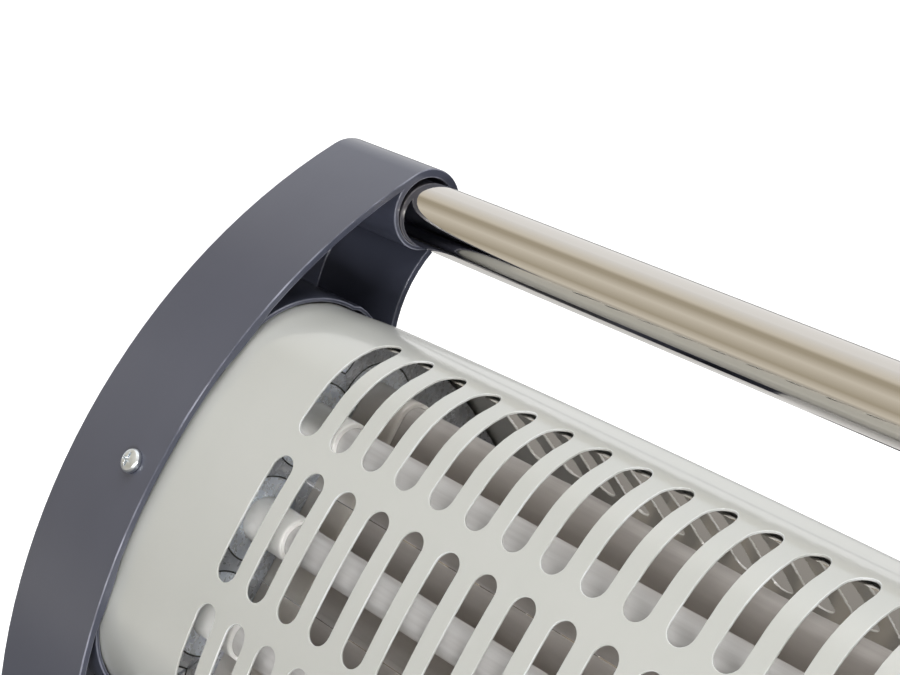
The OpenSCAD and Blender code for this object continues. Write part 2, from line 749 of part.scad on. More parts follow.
module supply_leads() {
    hole_out = body_d + clear + rib_t + 6;
    hole = lead_hole_z;
    turn = body_d - 9;
    x1 = lead_hole_x - lead_gap;
    x2 = lead_hole_x + lead_gap;
    top = block_yz[1] + block_h / 2 + seat;
    a = to_body(x1, block_yz[0] - 6, top);
    b = to_body(x2, block_yz[0] + 6, top);
    a1 = to_body(x1, block_yz[0] - 7, top + 6);
    b1 = to_body(x2, block_yz[0] + 5, top + 6);
    color("black") in_body() at_end(1) {
        lead([a, a1, [x1, hole_out + 4, hole - 6], [x1, hole_out, hole], [x1, body_d + 2, hole],
            [x1 - 0.5, turn + 5, hole + 1], [x1 - 5, turn + 1, hole + 5], [x1 - 13, turn, hole + 12],
            [switch_back - 8, turn - 1, hole + 18], [switch_back - 16, turn - 2, hole + 24],
            [switch_back - 21, turn - 4, -2], [switch_back - 21, common_d + 4, 0],
            [switch_back - 17, common_d, 0], [switch_back - tag_l - seat, common_d, 0]]);
        lead([b, b1, [x2, hole_out + 5, hole - 6], [x2, hole_out, hole], [x2, body_d + 2, hole],
            [x2 - 0.5, turn + 7, hole + 2], [x2 - 4, turn + 5, hole + 7], [x2 - 12, turn + 3, hole + 16],
            [switch_back - 4, turn + 3, hole + 28], [spade_x + 12, cutout_d + 5, cutout_z - 3],
            [spade_x + 5, cutout_d + 2, cutout_z + 1],
            [spade_x + 2 * seat, cutout_d + 0.3, cutout_z + spade_z]]);
    }
}

// ---------- selector ----------
bush_out = 3.5;
selector_nut_af = bush_d + 4.5;
selector_nut_t = 2.5;
flat_t = 0.8;       // depth of the flat on the shaft
shaft_in = 8;
shaft_out = knob_gap + knob_h - 4;
module at_selector() {
    at_end(1) translate([0, selector_yz[0], selector_yz[1]]) children();
}
module tag() {
    translate([-tag_l, -tag_w / 2, -tag_t / 2]) cube([tag_l + 1, tag_w, tag_t]);
}
module selector_switch() {
    color("saddlebrown") at_selector() difference() {
        union() {
            translate([switch_back, 0, 0]) rotate([-face_tilt, 0, 0]) {
                translate([0, -switch_w / 2, -switch_w / 2]) cube([switch_t, switch_w, switch_w]);
                for (k = [-1:1]) translate([0, 0, k * tag_pitch]) tag();
                translate([0, common_d - selector_d, 0]) tag();
            }
            rod_x(bush_d, cap_floor - seat - 1, cap_w + bush_out);
        }
        rod_x(shaft_d + 2 * fit, cap_floor - shaft_in, cap_w + bush_out + 1);
    }
}
module selector_nut() {
    color("silver") at_selector() hex_nut(selector_nut_af, bush_d + 2 * fit, cap_w + 0.1, selector_nut_t);
}
module selector_shaft() {
    color("silver") at_selector() difference() {
        rod_x(shaft_d, cap_floor - shaft_in + seat, cap_w + shaft_out);
        translate([cap_w + bush_out + 1.5, -far / 2, shaft_d / 2 - flat_t]) cube([far, far, far]);
    }
}
skirt_t = 5;
grip_w = 9;
grip_start = 67.5;  // pointer at the dial's 0: this far towards the front
knob_x = cap_w + knob_gap;
module selector_knob() {
    color("darkslategray") at_selector() rotate([grip_start, 0, 0]) difference() {
        union() {
            rod_x(knob_d, knob_x, knob_x + skirt_t);
            intersection() {
                rod_x(knob_d - 1.6, knob_x + 1, knob_x + knob_h);
                translate([knob_x + 1, -grip_w / 2, -knob_d / 2]) cube([knob_h - 1, grip_w, knob_d]);
            }
        }
        rod_x(selector_nut_af + 6, cap_w, knob_x + skirt_t - 1.4);
        rod_x(shaft_d + 2 * fit, cap_w, cap_w + shaft_out + seat);
    }
}

// ---------- tip-over switch ----------
guide_w = 18;
guide_wall = 4;     // floor of the housing, that the plunger runs in
guide_lid = 2.4;    // ceiling of the housing, that the spring pushes against
guide_base = foot_h + cap_wall;
flange_t = 2;
flange_d = plunger_d + 4;
flange_z = guide_base + guide_wall + plunger_travel + flange_t;   // flange's top at rest
spring_h = 13;
spring_d = plunger_d - 0.6;
spring_wire = 1;
guide_top = flange_z + spring_h + guide_lid;
stem_d = 3;
button_gap = 2.6;   // from the housing to the switch that the stem presses
rail_w = 3;
module at_plunger() {
    at_end(1) translate([foot_x, plunger_y, 0]) children();
}
module tip_switch_housing() {
    color("beige") at_plunger() difference() {
        union() {
            translate([-guide_w / 2, -guide_w / 2, guide_base])
                cube([guide_w, guide_w, guide_top - guide_base]);
            for (y = [-guide_w / 2, guide_w / 2 - rail_w]) translate([-guide_w / 2, y, guide_top - 1])
                cube([guide_w, rail_w, button_gap + 1]);
        }
        cylinder(d = plunger_d + 2 * fit, h = flange_z);
        cylinder(d = stem_d + 2 * clear, h = far);
        translate([0, 0, guide_base + guide_wall - seat])
            cylinder(d = flange_d + 2 * seat, h = flange_z + spring_h - guide_base - guide_wall + seat);
    }
}
module tip_switch_plunger() {
    color("orangered") at_plunger() {
        cylinder(d = plunger_d, h = flange_z);
        translate([0, 0, flange_z - flange_t]) cylinder(d = flange_d, h = flange_t);
        cylinder(d = stem_d, h = guide_top + button_gap - seat);
    }
}
module plunger_spring() {
    color("silver") at_plunger() difference() {
        translate([0, 0, flange_z + seat]) cylinder(d = spring_d, h = spring_h - 2 * seat);
        cylinder(d = spring_d - 2 * spring_wire, h = far);
    }
}
module tip_microswitch() {
    color("dimgray") at_plunger() translate([-3.2, -guide_w / 2, guide_top + button_gap])
        cube([6.4, guide_w, 11]);
}

// ---------- thermal cut-out, terminal block, cord gland ----------
module cutout_frame() {
    at_end(1) translate([-plate_in + plate_t, cutout_d, cutout_z]) children();
}
cutout_w = 16;
ear_w = 8;
ear_t = 0.8;
module thermal_cutout() {
    color("black") in_body() cutout_frame() difference() {
        union() {
            rod_x(cutout_w, 0, cutout_t);
            translate([0, -ear_w / 2, -cutout_hole - ear_w / 2])
                cube([ear_t, ear_w, 2 * cutout_hole + ear_w]);
            for (z = [-spade_z, spade_z]) translate([cutout_t, 0, z]) mirror([1, 0, 0]) tag();
        }
        for (z = [-1, 1]) translate([0, 0, z * cutout_hole]) rod_x(screw_d + 2 * fit, -1, 2);
    }
}
module cutout_screws() {
    color("gainsboro") in_body() cutout_frame() for (z = [-1, 1])
        translate([ear_t, 0, z * cutout_hole]) rotate([0, 90, 0]) screw(cutout_screw_l);
}
module at_block() {
    at_end(1) translate([cap_floor - block_w, block_yz[0], block_yz[1]]) children();
}
block_screw_d = 3.4;
block_screw_t = 4.5;
block_pitch = 9;
module terminal_block() {
    color("white") at_block() difference() {
        translate([0, -block_l / 2, -block_h / 2]) cube([block_w, block_l, block_h]);
        for (k = [-1:1]) translate([0, k * block_pitch, 0])
            rod_x(block_screw_d + 2 * fit, -1, 1.2 + block_screw_t + seat);
    }
}
module terminal_block_screws() {
    color("gainsboro") at_block() for (k = [-1:1]) translate([0, k * block_pitch, 0])
        rod_x(block_screw_d, 1.2, 1.2 + block_screw_t);
}
gland_flange = gland_d + 4.6;
gland_out = 7;
gland_in = 14;
module cord_gland() {
    color("black") at_gland() difference() {
        union() {
            translate([0, 0, -gland_in]) cylinder(d = gland_d, h = gland_in + 1);
            cylinder(d = gland_flange, h = 2);
            cylinder(d = gland_d - 0.6, h = gland_out);
        }
        translate([0, 0, -gland_in - 1]) cylinder(d = cord_d, h = gland_in + gland_out + 2);
    }
}
module gland_nut() {
    color("black") at_gland() difference() {
        translate([0, 0, -cap_wall - 4 - seat]) cylinder(d = gland_flange + 1, h = 4, $fn = 6);
        translate([0, 0, -20]) cylinder(d = gland_d + 2 * fit, h = 40);
    }
}

module right_leg_cover() {
    color("slategray") at_end(1) difference() {
        along_x(cover_x, cover_x + cover_t) difference() {
            intersection() {
                cap_outline(cap_wall + seat);
                translate([-depth, 0]) square([2 * depth, cover_top]);
            }
            translate([-face_y, face_z]) rotate(-face_tilt) body_outline(clear + rib_t + seat);
        }
        for (p = post_yz) translate([0, p[0], p[1]]) rod_x(screw_d + 2 * fit, 0, far);
    }
}
module leg_cover_screws() {
    color("gainsboro") at_end(1) for (p = post_yz)
        translate([cover_x, p[0], p[1]]) rotate([0, -90, 0]) screw(cover_screw_l);
}

// ---------- feet ----------
module feet(side) {
    color("black") at_end(side) for (y = foot_y) translate([foot_x, y, 0]) {
        cylinder(d = foot_d, h = foot_h);
        cylinder(d = foot_stem_d, h = foot_h + cap_wall + 1);
    }
}
module left_feet() { feet(-1); }
module right_feet() { feet(1); }

centred() left_end_cap();
centred() right_end_cap();
centred() handle_tube();
centred() left_handle_plug();
centred() right_handle_plug();
centred() handle_screws();
centred() front_grille();
centred() rear_housing();
centred() housing_screws();
centred() left_cap_screws();
centred() right_cap_screws();
centred() reflector_top();
centred() reflector_middle();
centred() reflector_bottom();
centred() left_element_plate();
centred() right_element_plate();
centred() quartz_tube_top();
centred() quartz_tube_middle();
centred() quartz_tube_bottom();
centred() heating_coil_top();
centred() heating_coil_middle();
centred() heating_coil_bottom();
centred() left_ceramic_top();
centred() left_ceramic_middle();
centred() left_ceramic_bottom();
centred() right_ceramic_top();
centred() right_ceramic_middle();
centred() right_ceramic_bottom();
centred() left_terminal_pins();
centred() right_terminal_pins();
centred() terminal_nuts();
centred() left_link_bar();
centred() selector_leads();
centred() return_lead();
centred() supply_leads();
centred() selector_switch();
centred() selector_nut();
centred() selector_shaft();
centred() selector_knob();
centred() tip_switch_housing();
centred() tip_switch_plunger();
centred() plunger_spring();
centred() tip_microswitch();
centred() thermal_cutout();
centred() cutout_screws();
centred() terminal_block();
centred() terminal_block_screws();
centred() cord_gland();
centred() gland_nut();
centred() right_leg_cover();
centred() leg_cover_screws();
centred() left_feet();
centred() right_feet();
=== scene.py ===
"""Dresses the parabolic heater's CAD frame: edges, sheet metal, glass, finishes and a plain studio."""
import math

import bmesh
import bpy
from bpy.props import FloatProperty, FloatVectorProperty, IntProperty, PointerProperty
from bpy.types import NodeSocket, Operator, Panel, PropertyGroup
from mathutils import Matrix, Vector, noise


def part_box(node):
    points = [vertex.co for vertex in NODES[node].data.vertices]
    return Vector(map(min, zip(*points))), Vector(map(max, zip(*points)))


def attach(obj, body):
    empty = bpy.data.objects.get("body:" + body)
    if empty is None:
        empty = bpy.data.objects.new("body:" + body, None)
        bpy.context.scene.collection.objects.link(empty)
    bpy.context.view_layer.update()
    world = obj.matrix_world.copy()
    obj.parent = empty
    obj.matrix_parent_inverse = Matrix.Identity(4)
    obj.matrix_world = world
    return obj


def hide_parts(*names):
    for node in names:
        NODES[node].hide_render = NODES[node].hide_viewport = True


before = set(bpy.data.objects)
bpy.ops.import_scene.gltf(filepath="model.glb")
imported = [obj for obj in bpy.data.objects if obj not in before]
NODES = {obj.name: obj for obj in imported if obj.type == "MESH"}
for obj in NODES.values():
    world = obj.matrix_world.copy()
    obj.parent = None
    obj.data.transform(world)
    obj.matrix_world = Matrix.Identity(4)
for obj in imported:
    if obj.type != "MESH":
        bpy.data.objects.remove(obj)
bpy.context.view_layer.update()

bl_info = {
    "name": "Parabolic heater",
    "version": (1, 0, 0),
    "blender": (4, 5, 0),
    "location": "3D View > Sidebar > Heater",
    "description": "Dresses the heater's frame with edges, sheet metal, glass and finishes",
    "category": "Object",
}

MM = 0.001

# Attributes of the meshes
RIM = "Rounded edge"
SHEET_NORMAL = "Sheet normal"

# How a CAD node's mesh is read: what is one vertex, one flat face and a sharp edge
WELD = 0.001 * MM
FLAT = math.radians(0.4)
SHARP = math.radians(28)


# ---------- the body's frame: depth behind the grille and height along it ----------

# How far the body leans back, and where the middle of the grille's face is
TILT = math.radians(37.7)
FACE_Y = -39.3 * MM
FACE_Z = 174 * MM
MIDDLE_X = (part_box("handle_tube")[0].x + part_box("handle_tube")[1].x) / 2
CAP_RIM = (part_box("right_end_cap")[0].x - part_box("left_end_cap")[1].x) / 2
SHEET_HALF = (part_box("front_grille")[1].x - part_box("front_grille")[0].x) / 2

# The body's section: a round face, front corners, short flats and rear corners
FACE_R = 238 * MM
CORNER_R = 36 * MM
REAR_R = 18 * MM
BODY_HALF = 73 * MM
SIDE_LAND = 2.6 * MM
SEAM_OVER = 6 * MM
SHEET = 0.8 * MM
CORNER_Z = BODY_HALF - CORNER_R
CORNER_D = FACE_R - math.sqrt((FACE_R - CORNER_R) ** 2 - CORNER_Z ** 2)
FACE_END = FACE_R * CORNER_Z / (FACE_R - CORNER_R)

# The elements: height from one to the next, depth behind the face, depth of a trough behind its
# tube, and radius of the groove pressed round a holder
ELEMENT_PITCH = 33.5 * MM
ELEMENT_D = 27 * MM
FOCUS = 10 * MM
PRESSED_R = 14.5 * MM

# A trough's sheet is folded over at an outer wing's edge, and waves per metre along and across
HEM = 4 * MM
HEM_SHEETS = 2.2
TAB_HALF = 3.5 * MM
WAVES = (22, 30)
WAVE_SHIFT = 9
SECTION_STEPS = 60
LENGTH_STEPS = 70

# The sheet springs out between the end caps, which press its corners in. The rear sheet follows
# at its sides, within these heights, and less and less between these depths.
SPRING_OUT = 2.4 * MM
SPRING_RUN = 12 * MM
SPRING_STEPS = 16
SPRUNG_SIDE = (60 * MM, 70 * MM)
SPRUNG_REAR = (50 * MM, 60 * MM)
TUCK_IN = 0.9 * MM
TUCK_ENDS = 24 * MM
TUCK_START = 20 * MM
TUCK_FULL = 42 * MM

# What part of an end cap is its rib: how far from the sheet it lies
RIB_NEAR = 0.2 * MM
RIB_FAR = 2 * MM

ELEMENTS = {"top": 1, "middle": 0, "bottom": -1}

# Places in the sheet that agree to so many digits of a metre are one
SAME_DIGITS = 7
SAME = 10 ** -SAME_DIGITS

IN_BODY = Matrix.Translation((MIDDLE_X, FACE_Y, FACE_Z)) @ Matrix.Rotation(-TILT, 4, "X")


def along_sheet(u, rows_end):
    """Depth, height and outward normal of the grille's section at u: the height up to
    rows_end, and the way over the sheet beyond it."""
    side, v = (1, u) if u >= 0 else (-1, -u)
    if v <= FACE_END:
        d = FACE_R - math.sqrt(FACE_R ** 2 - v ** 2)
        place = d, v, (d - FACE_R) / FACE_R, v / FACE_R
    elif v <= rows_end:
        d = CORNER_D - math.sqrt(CORNER_R ** 2 - (v - CORNER_Z) ** 2)
        place = d, v, (d - CORNER_D) / CORNER_R, (v - CORNER_Z) / CORNER_R
    else:
        place = beyond_rows(v - rows_end, math.asin((rows_end - CORNER_Z) / CORNER_R))
    return place[0], side * place[1], place[2], side * place[3]


def beyond_rows(way, start):
    """The section past the slots: the rest of the front corner, the flat, the rear corner."""
    corner = (math.pi / 2 - start) * CORNER_R
    if way <= corner:
        a = start + way / CORNER_R
        return (CORNER_D - CORNER_R * math.cos(a), CORNER_Z + CORNER_R * math.sin(a),
                -math.cos(a), math.sin(a))
    way -= corner
    if way <= SIDE_LAND:
        return CORNER_D + way, BODY_HALF, 0, 1
    a = (way - SIDE_LAND) / REAR_R
    return (CORNER_D + SIDE_LAND + REAR_R * math.sin(a), BODY_HALF - REAR_R + REAR_R * math.cos(a),
            math.sin(a), math.cos(a))


# ---------- meshes ----------

def spaced(first, last, count):
    """count + 1 even values from first to last."""
    return [first + (last - first) * i / count for i in range(count + 1)]


def ease(value, low, high):
    """0 below low, 1 above high and smooth between them."""
    t = min(1.0, max(0.0, (value - low) / (high - low)))
    return t * t * (3 - 2 * t)


def swell(x, share):
    """How far a share of the sheet's spring lifts its upper and lower sides at x."""
    return SPRING_OUT * share * max(0.0, 1 - (x / CAP_RIM) ** 2)


def tuck(x, z):
    """How far the end caps press the sheet's corners in."""
    ends = ease(abs(x), CAP_RIM - TUCK_ENDS, CAP_RIM)
    return TUCK_IN * ends * ease(abs(z), TUCK_START, TUCK_FULL)


def mesh_from(name, bm):
    """A mesh made from a bmesh, which is used up."""
    mesh = bpy.data.meshes.new(name)
    bm.to_mesh(mesh)
    bm.free()
    return mesh


def linked(name, data):
    """A new object in the scene that shows this data."""
    made = bpy.data.objects.new(name, data)
    bpy.context.collection.objects.link(made)
    return made


def join_rings(bm, rings):
    """Makes the faces between each closed ring of vertices and the next, and gives them."""
    faces = []
    for a, b in zip(rings, rings[1:]):
        for i in range(len(a)):
            j = (i + 1) % len(a)
            faces.append(bm.faces.new((a[i], a[j], b[j], b[i])))
    return faces


def add_piece(name, bm, finish, stands_for, body="frame", sharp=35):
    """Turns a bmesh into a piece that rides on a body and stands for its CAD nodes."""
    bm.normal_update()
    mesh = mesh_from(name, bm)
    mesh.shade_smooth()
    mesh.set_sharp_from_angle(angle=math.radians(sharp))
    piece = linked(name, mesh)
    if SHEET_NORMAL in mesh.attributes:
        own = [item.vector.copy() for item in mesh.attributes[SHEET_NORMAL].data]
        mesh.normals_split_custom_set_from_vertices(own)
        mesh.attributes.remove(mesh.attributes[SHEET_NORMAL])
    else:
        weighted = piece.modifiers.new("Weighted normals", "WEIGHTED_NORMAL")
        weighted.keep_sharp = True
    mesh.materials.append(material(finish))
    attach(piece, body)
    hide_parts(*stands_for)


def welded_copy(node):
    """A CAD node's mesh with its vertices joined and its flat faces in one piece."""
    bm = bmesh.new()
    bm.from_mesh(NODES[node].data)
    bmesh.ops.remove_doubles(bm, verts=bm.verts, dist=WELD)
    bmesh.ops.dissolve_limit(bm, angle_limit=FLAT, verts=bm.verts, edges=bm.edges)
    return bm


def round_edges(bm, width, segments=2):
    """Bevels the edges that turn by more than SHARP."""
    rim = bm.faces.layers.float.new(RIM)
    edges = [e for e in bm.edges if len(e.link_faces) == 2 and e.calc_face_angle() > SHARP]
    rounded = bmesh.ops.bevel(bm, geom=edges, offset=width, offset_type="OFFSET", segments=segments,
                              profile=0.5, affect="EDGES", clamp_overlap=False)["faces"]
    # The marked rounded faces are lightened by the finishes: for wear, and on the end caps as a painted
    # highlight.
    for face in rounded:
        face[rim] = 1.0
    bmesh.ops.triangulate(bm, faces=[f for f in bm.faces if len(f.verts) > 4])


def rounded_piece(name, node, finish, width, body="frame", **options):
    """A CAD node's form with its edges rounded to width, in its place."""
    bm = welded_copy(node)
    round_edges(bm, width, **options)
    add_piece(name, bm, finish, [node], body=body)


def dress(finish, *nodes):
    """Gives a finish to CAD nodes that keep their own meshes."""
    for node in nodes:
        for place in NODES[node].material_slots:
            place.material = material(finish)


class SlottedSheet:
    """The grille: rows of slots with round ends in a curved sheet, edges rounded."""

    straight_steps = 9
    land_steps = 9
    corner_steps = 6
    rear_steps = 4
    edge_middle = 0.29  # how far an edge's middle lies in, as a share of its radius

    def __init__(self, settings):
        self.bm = bmesh.new()
        self.rim = self.bm.faces.layers.float.new(RIM)
        self.normals = self.bm.verts.layers.float_vector.new(SHEET_NORMAL)
        self.made = {}
        self.count = settings.slot_count
        self.pitch = settings.slot_pitch
        self.radius = settings.slot_width / 2
        self.edge = settings.sheet_edge
        self.land = settings.row_land
        middle = settings.middle_slot / 2
        corner = middle + self.land
        top = corner + settings.corner_slot
        up = settings.rows_up
        self.rows = [(up - top, up - corner), (up - middle, up + middle), (up + corner, up + top)]
        self.rows_low = up - top - self.land / 2
        self.rows_end = up + top + self.land / 2
        self.first_x = -(self.count - 1) * self.pitch / 2
        to_corner = math.degrees(math.atan2(self.radius + self.land / 2, self.pitch / 2))
        quarter = [0, 16, 32, to_corner, 60, 75]  # degrees, with one point at the cell's corner
        self.end_angles = [*quarter, 90, *(180 - a for a in reversed(quarter))]

    def place(self, x, u):
        """Where x and u are on the sheet's outer side, in the body's frame."""
        d, z, nd, nz = along_sheet(u, self.rows_end)
        inwards = tuck(x, z)
        lift = math.copysign(swell(x, ease(abs(u), self.rows_end, self.rows_end + SPRING_RUN)), u)
        return Vector((x, d - nd * inwards, z - nz * inwards + lift))

    def vertex(self, x, u, depth, shared=True, lean=None):
        """A vertex of the sheet at x and u, depth below its outer side. On a slot's lip the
        normal leans: by the first angle, towards the slot from the second direction."""
        key = tuple(round(value * 10 ** SAME_DIGITS) for value in (x, u, depth))
        if shared and key in self.made:
            return self.made[key]
        step = 0.1 * MM
        along = self.place(x + step, u) - self.place(x - step, u)
        across = (self.place(x, u + step) - self.place(x, u - step)).normalized()
        normal = along.cross(across).normalized()
        vert = self.bm.verts.new(IN_BODY @ (self.place(x, u) - depth * normal))
        turn, way = lean or (math.pi if depth else 0.0, 0.0)
        to_slot = -math.cos(way) * along.normalized() - math.sin(way) * across
        leaning = math.cos(turn) * normal + math.sin(turn) * to_slot
        vert[self.normals] = IN_BODY.to_3x3() @ leaning
        if shared:
            self.made[key] = vert
        return vert

    def outline(self, z0, z1):
        """Height on the slot's axis and direction of each point round a slot."""
        low, high = z0 + self.radius, z1 - self.radius
        points = [(high, math.radians(a)) for a in self.end_angles]
        points += [(z, math.pi) for z in spaced(high, low, self.straight_steps)[1:-1]]
        points += [(low, math.radians(a + 180)) for a in self.end_angles]
        points += [(z, 0) for z in spaced(low, high, self.straight_steps)[1:-1]]
        return points

    def to_cell_edge(self, point):
        """Where the direction of an outline's point meets the slot's cell."""
        z, a = point
        across, up = math.cos(a), math.sin(a)
        reach = min(self.pitch / 2 / max(abs(across), SAME),
                    (self.radius + self.land / 2) / max(abs(up), SAME))
        return reach * across, z + reach * up

    def slot(self, x, z0, z1):
        """One slot's cell: outer side, rounded edge and inner side."""
        outline = self.outline(z0, z1)
        flat = 2 * self.edge

        def ring(offset, depth, share=0.0, turn=None):
            """The outline drawn out by offset, and on by share of the way to the cell's edge."""
            verts = []
            reach = self.radius + offset
            for point in outline:
                z, a = point
                near = (reach * math.cos(a), z + reach * math.sin(a))
                far = self.to_cell_edge(point)
                place = [n + (f - n) * share for n, f in zip(near, far)]
                lean = None if turn is None else (math.radians(turn), a)
                verts.append(self.vertex(x + place[0], place[1], depth, share == 1, lean))
            return verts

        edge, middle = self.edge, self.edge_middle * self.edge
        lips = [(edge, 0, 0), (middle, middle, 45), (0, edge, 90),
                (0, SHEET - edge, 90), (middle, SHEET - middle, 135), (edge, SHEET, 180)]
        outer = [ring(flat, 0, share) for share in (1, 0.5, 0)]
        lip = [ring(offset, depth, turn=turn) for offset, depth, turn in lips]
        inner = [ring(flat, SHEET, share) for share in (0, 0.5, 1)]
        join_rings(self.bm, [*outer, lip[0]])
        # The lip faces are marked as rounded edge, which the body paint lightens as a painted highlight.
        for face in join_rings(self.bm, lip[:4]):
            face[self.rim] = 1.0
        join_rings(self.bm, [*lip[3:], *inner])

    def plain(self, xs, us):
        """Plain sheet between the given places, both sides."""
        for depth in (0, SHEET):
            for x0, x1 in zip(xs, xs[1:]):
                for u0, u1 in zip(us, us[1:]):
                    corners = [(x0, u0), (x1, u0), (x1, u1), (x0, u1)]
                    self.bm.faces.new([self.vertex(x, u, depth) for x, u in corners])

    def close(self):
        """Faces between the two sides' open edges."""
        partner = {}
        for (x, u, depth), vert in self.made.items():
            partner.setdefault((x, u), []).append(vert)
        twin = dict(pair for pair in partner.values() if len(pair) == 2)
        open_edges = [e for e in self.bm.edges if len(e.link_faces) == 1]
        for edge in open_edges:
            a, b = edge.verts
            if a in twin and b in twin:
                self.bm.faces.new((a, b, twin[b], twin[a]))

    def build(self):
        """The whole grille."""
        cells = [self.first_x + i * self.pitch for i in range(self.count)]
        for x in cells:
            for z0, z1 in self.rows:
                self.slot(x, z0, z1)
        rows_x = self.first_x - self.pitch / 2
        side_us, top_xs = set(), set()
        for z0, z1 in self.rows:
            for point in self.outline(z0, z1):
                dx, u = self.to_cell_edge(point)
                if abs(abs(dx) - self.pitch / 2) < SAME:
                    side_us.add(round(u, SAME_DIGITS))
                if abs(u - self.rows_end) < SAME:
                    top_xs.update(round(x + dx, SAME_DIGITS) for x in cells)
        left = [round(x, SAME_DIGITS) for x in spaced(-SHEET_HALF, rows_x, self.land_steps)]
        right = [round(x, SAME_DIGITS) for x in spaced(-rows_x, SHEET_HALF, self.land_steps)]
        side_us = [-self.rows_end, *sorted(side_us)]
        self.plain(left, side_us)
        self.plain(right, side_us)
        corner = (math.pi / 2 - math.asin((self.rows_end - CORNER_Z) / CORNER_R)) * CORNER_R
        rear = math.asin(SEAM_OVER / REAR_R) * REAR_R
        ways = spaced(0, corner, self.corner_steps)
        ways += spaced(corner + SIDE_LAND, corner + SIDE_LAND + rear, self.rear_steps)
        all_xs = sorted(set(left) | top_xs | set(right))
        self.plain([x for x in all_xs if abs(x) <= abs(rows_x)], [-self.rows_end, self.rows_low])
        for side in (-1, 1):
            self.plain(all_xs, [side * (self.rows_end + way) for way in ways])
        self.close()
        bmesh.ops.recalc_face_normals(self.bm, faces=self.bm.faces)
        return self.bm


def trough_section(low, high, sheet, hem, bend):
    """Closed section of a trough about its element: the sheet from low to high over the
    axis, straight past the bends and folded back where the hem is (1 at its upper edge, -1
    at its lower edge), as depth and height."""
    front, back = [], []
    for z in spaced(low, high, SECTION_STEPS):
        curved = max(-bend, min(bend, z))
        slope = curved / (2 * FOCUS)
        length = math.hypot(1, slope)
        d = ELEMENT_D + FOCUS - curved ** 2 / (4 * FOCUS) - slope * (z - curved)
        folded = (hem > 0 and high - z < HEM) or (hem < 0 and z - low < HEM)
        thick = sheet * (HEM_SHEETS if folded else 1)
        front.append((d, z))
        back.append((d + thick / length, z + thick * slope / length))
    return front + back[::-1]


def trough(node, row, settings):
    """One polished trough with its tabs, as long as its node, slightly uneven as rolled sheet is."""
    edge = ELEMENT_PITCH / 2 - settings.trough_gap
    high = settings.trough_wing if row > 0 else edge
    low = -settings.trough_wing if row < 0 else -edge
    section = trough_section(low, high, settings.trough_sheet, row, settings.trough_bend)
    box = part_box(node)
    tab = settings.trough_tab
    x0, x1 = box[0].x - MIDDLE_X + tab, box[1].x - MIDDLE_X - tab
    bm = bmesh.new()
    rings = []
    for x in spaced(x0, x1, LENGTH_STEPS):
        ring = []
        for d, z in section:
            wave = noise.noise(Vector((x * WAVES[0], z * WAVES[1] + row * WAVE_SHIFT, 0.5)))
            place = Vector((x, d + settings.trough_uneven * wave, z + row * ELEMENT_PITCH))
            ring.append(bm.verts.new(IN_BODY @ place))
        rings.append(ring)
    join_rings(bm, rings)
    for ring in (rings[0], rings[-1]):
        half = len(ring) // 2
        for i in range(half - 1):
            bm.faces.new((ring[i], ring[i + 1], ring[-i - 2], ring[-i - 1]))
    for start, end in ((x0 - tab, x0 + MM), (x1 - MM, x1 + tab)):
        corners = [bm.verts.new(IN_BODY @ Vector((x, ELEMENT_D + FOCUS + d, z + row * ELEMENT_PITCH)))
                   for x in (start, end) for d in (0, settings.trough_sheet)
                   for z in (-TAB_HALF, TAB_HALF)]
        for quad in ((0, 1, 3, 2), (4, 5, 7, 6), (0, 1, 5, 4), (2, 3, 7, 6), (0, 2, 6, 4), (1, 3, 7, 5)):
            bm.faces.new([corners[i] for i in quad])
    bmesh.ops.recalc_face_normals(bm, faces=bm.faces)
    return bm


def coil(x0, x1, row, settings):
    """A wound heating wire from x0 to x1 on an element's axis, as a tube along a helix."""
    turns = settings.coil_turns
    steps, sides = 12, 5
    radius, wire = settings.coil_radius, settings.coil_wire
    along = Vector((1, 0, 0))
    bm = bmesh.new()
    rings = []
    for i in range(turns * steps + 1):
        a = 2 * math.pi * i / steps
        x = x0 + (x1 - x0) * i / (turns * steps)
        out = Vector((0, math.cos(a), math.sin(a)))
        centre = Vector((x, ELEMENT_D, row * ELEMENT_PITCH)) + radius * out
        rings.append([bm.verts.new(IN_BODY @ (centre + wire * (math.cos(b) * out + math.sin(b) * along)))
                      for b in (2 * math.pi * k / sides for k in range(sides))])
    join_rings(bm, rings)
    bm.faces.new(rings[0][::-1])
    bm.faces.new(rings[-1])
    bmesh.ops.recalc_face_normals(bm, faces=bm.faces)
    return bm


# ---------- shader building ----------

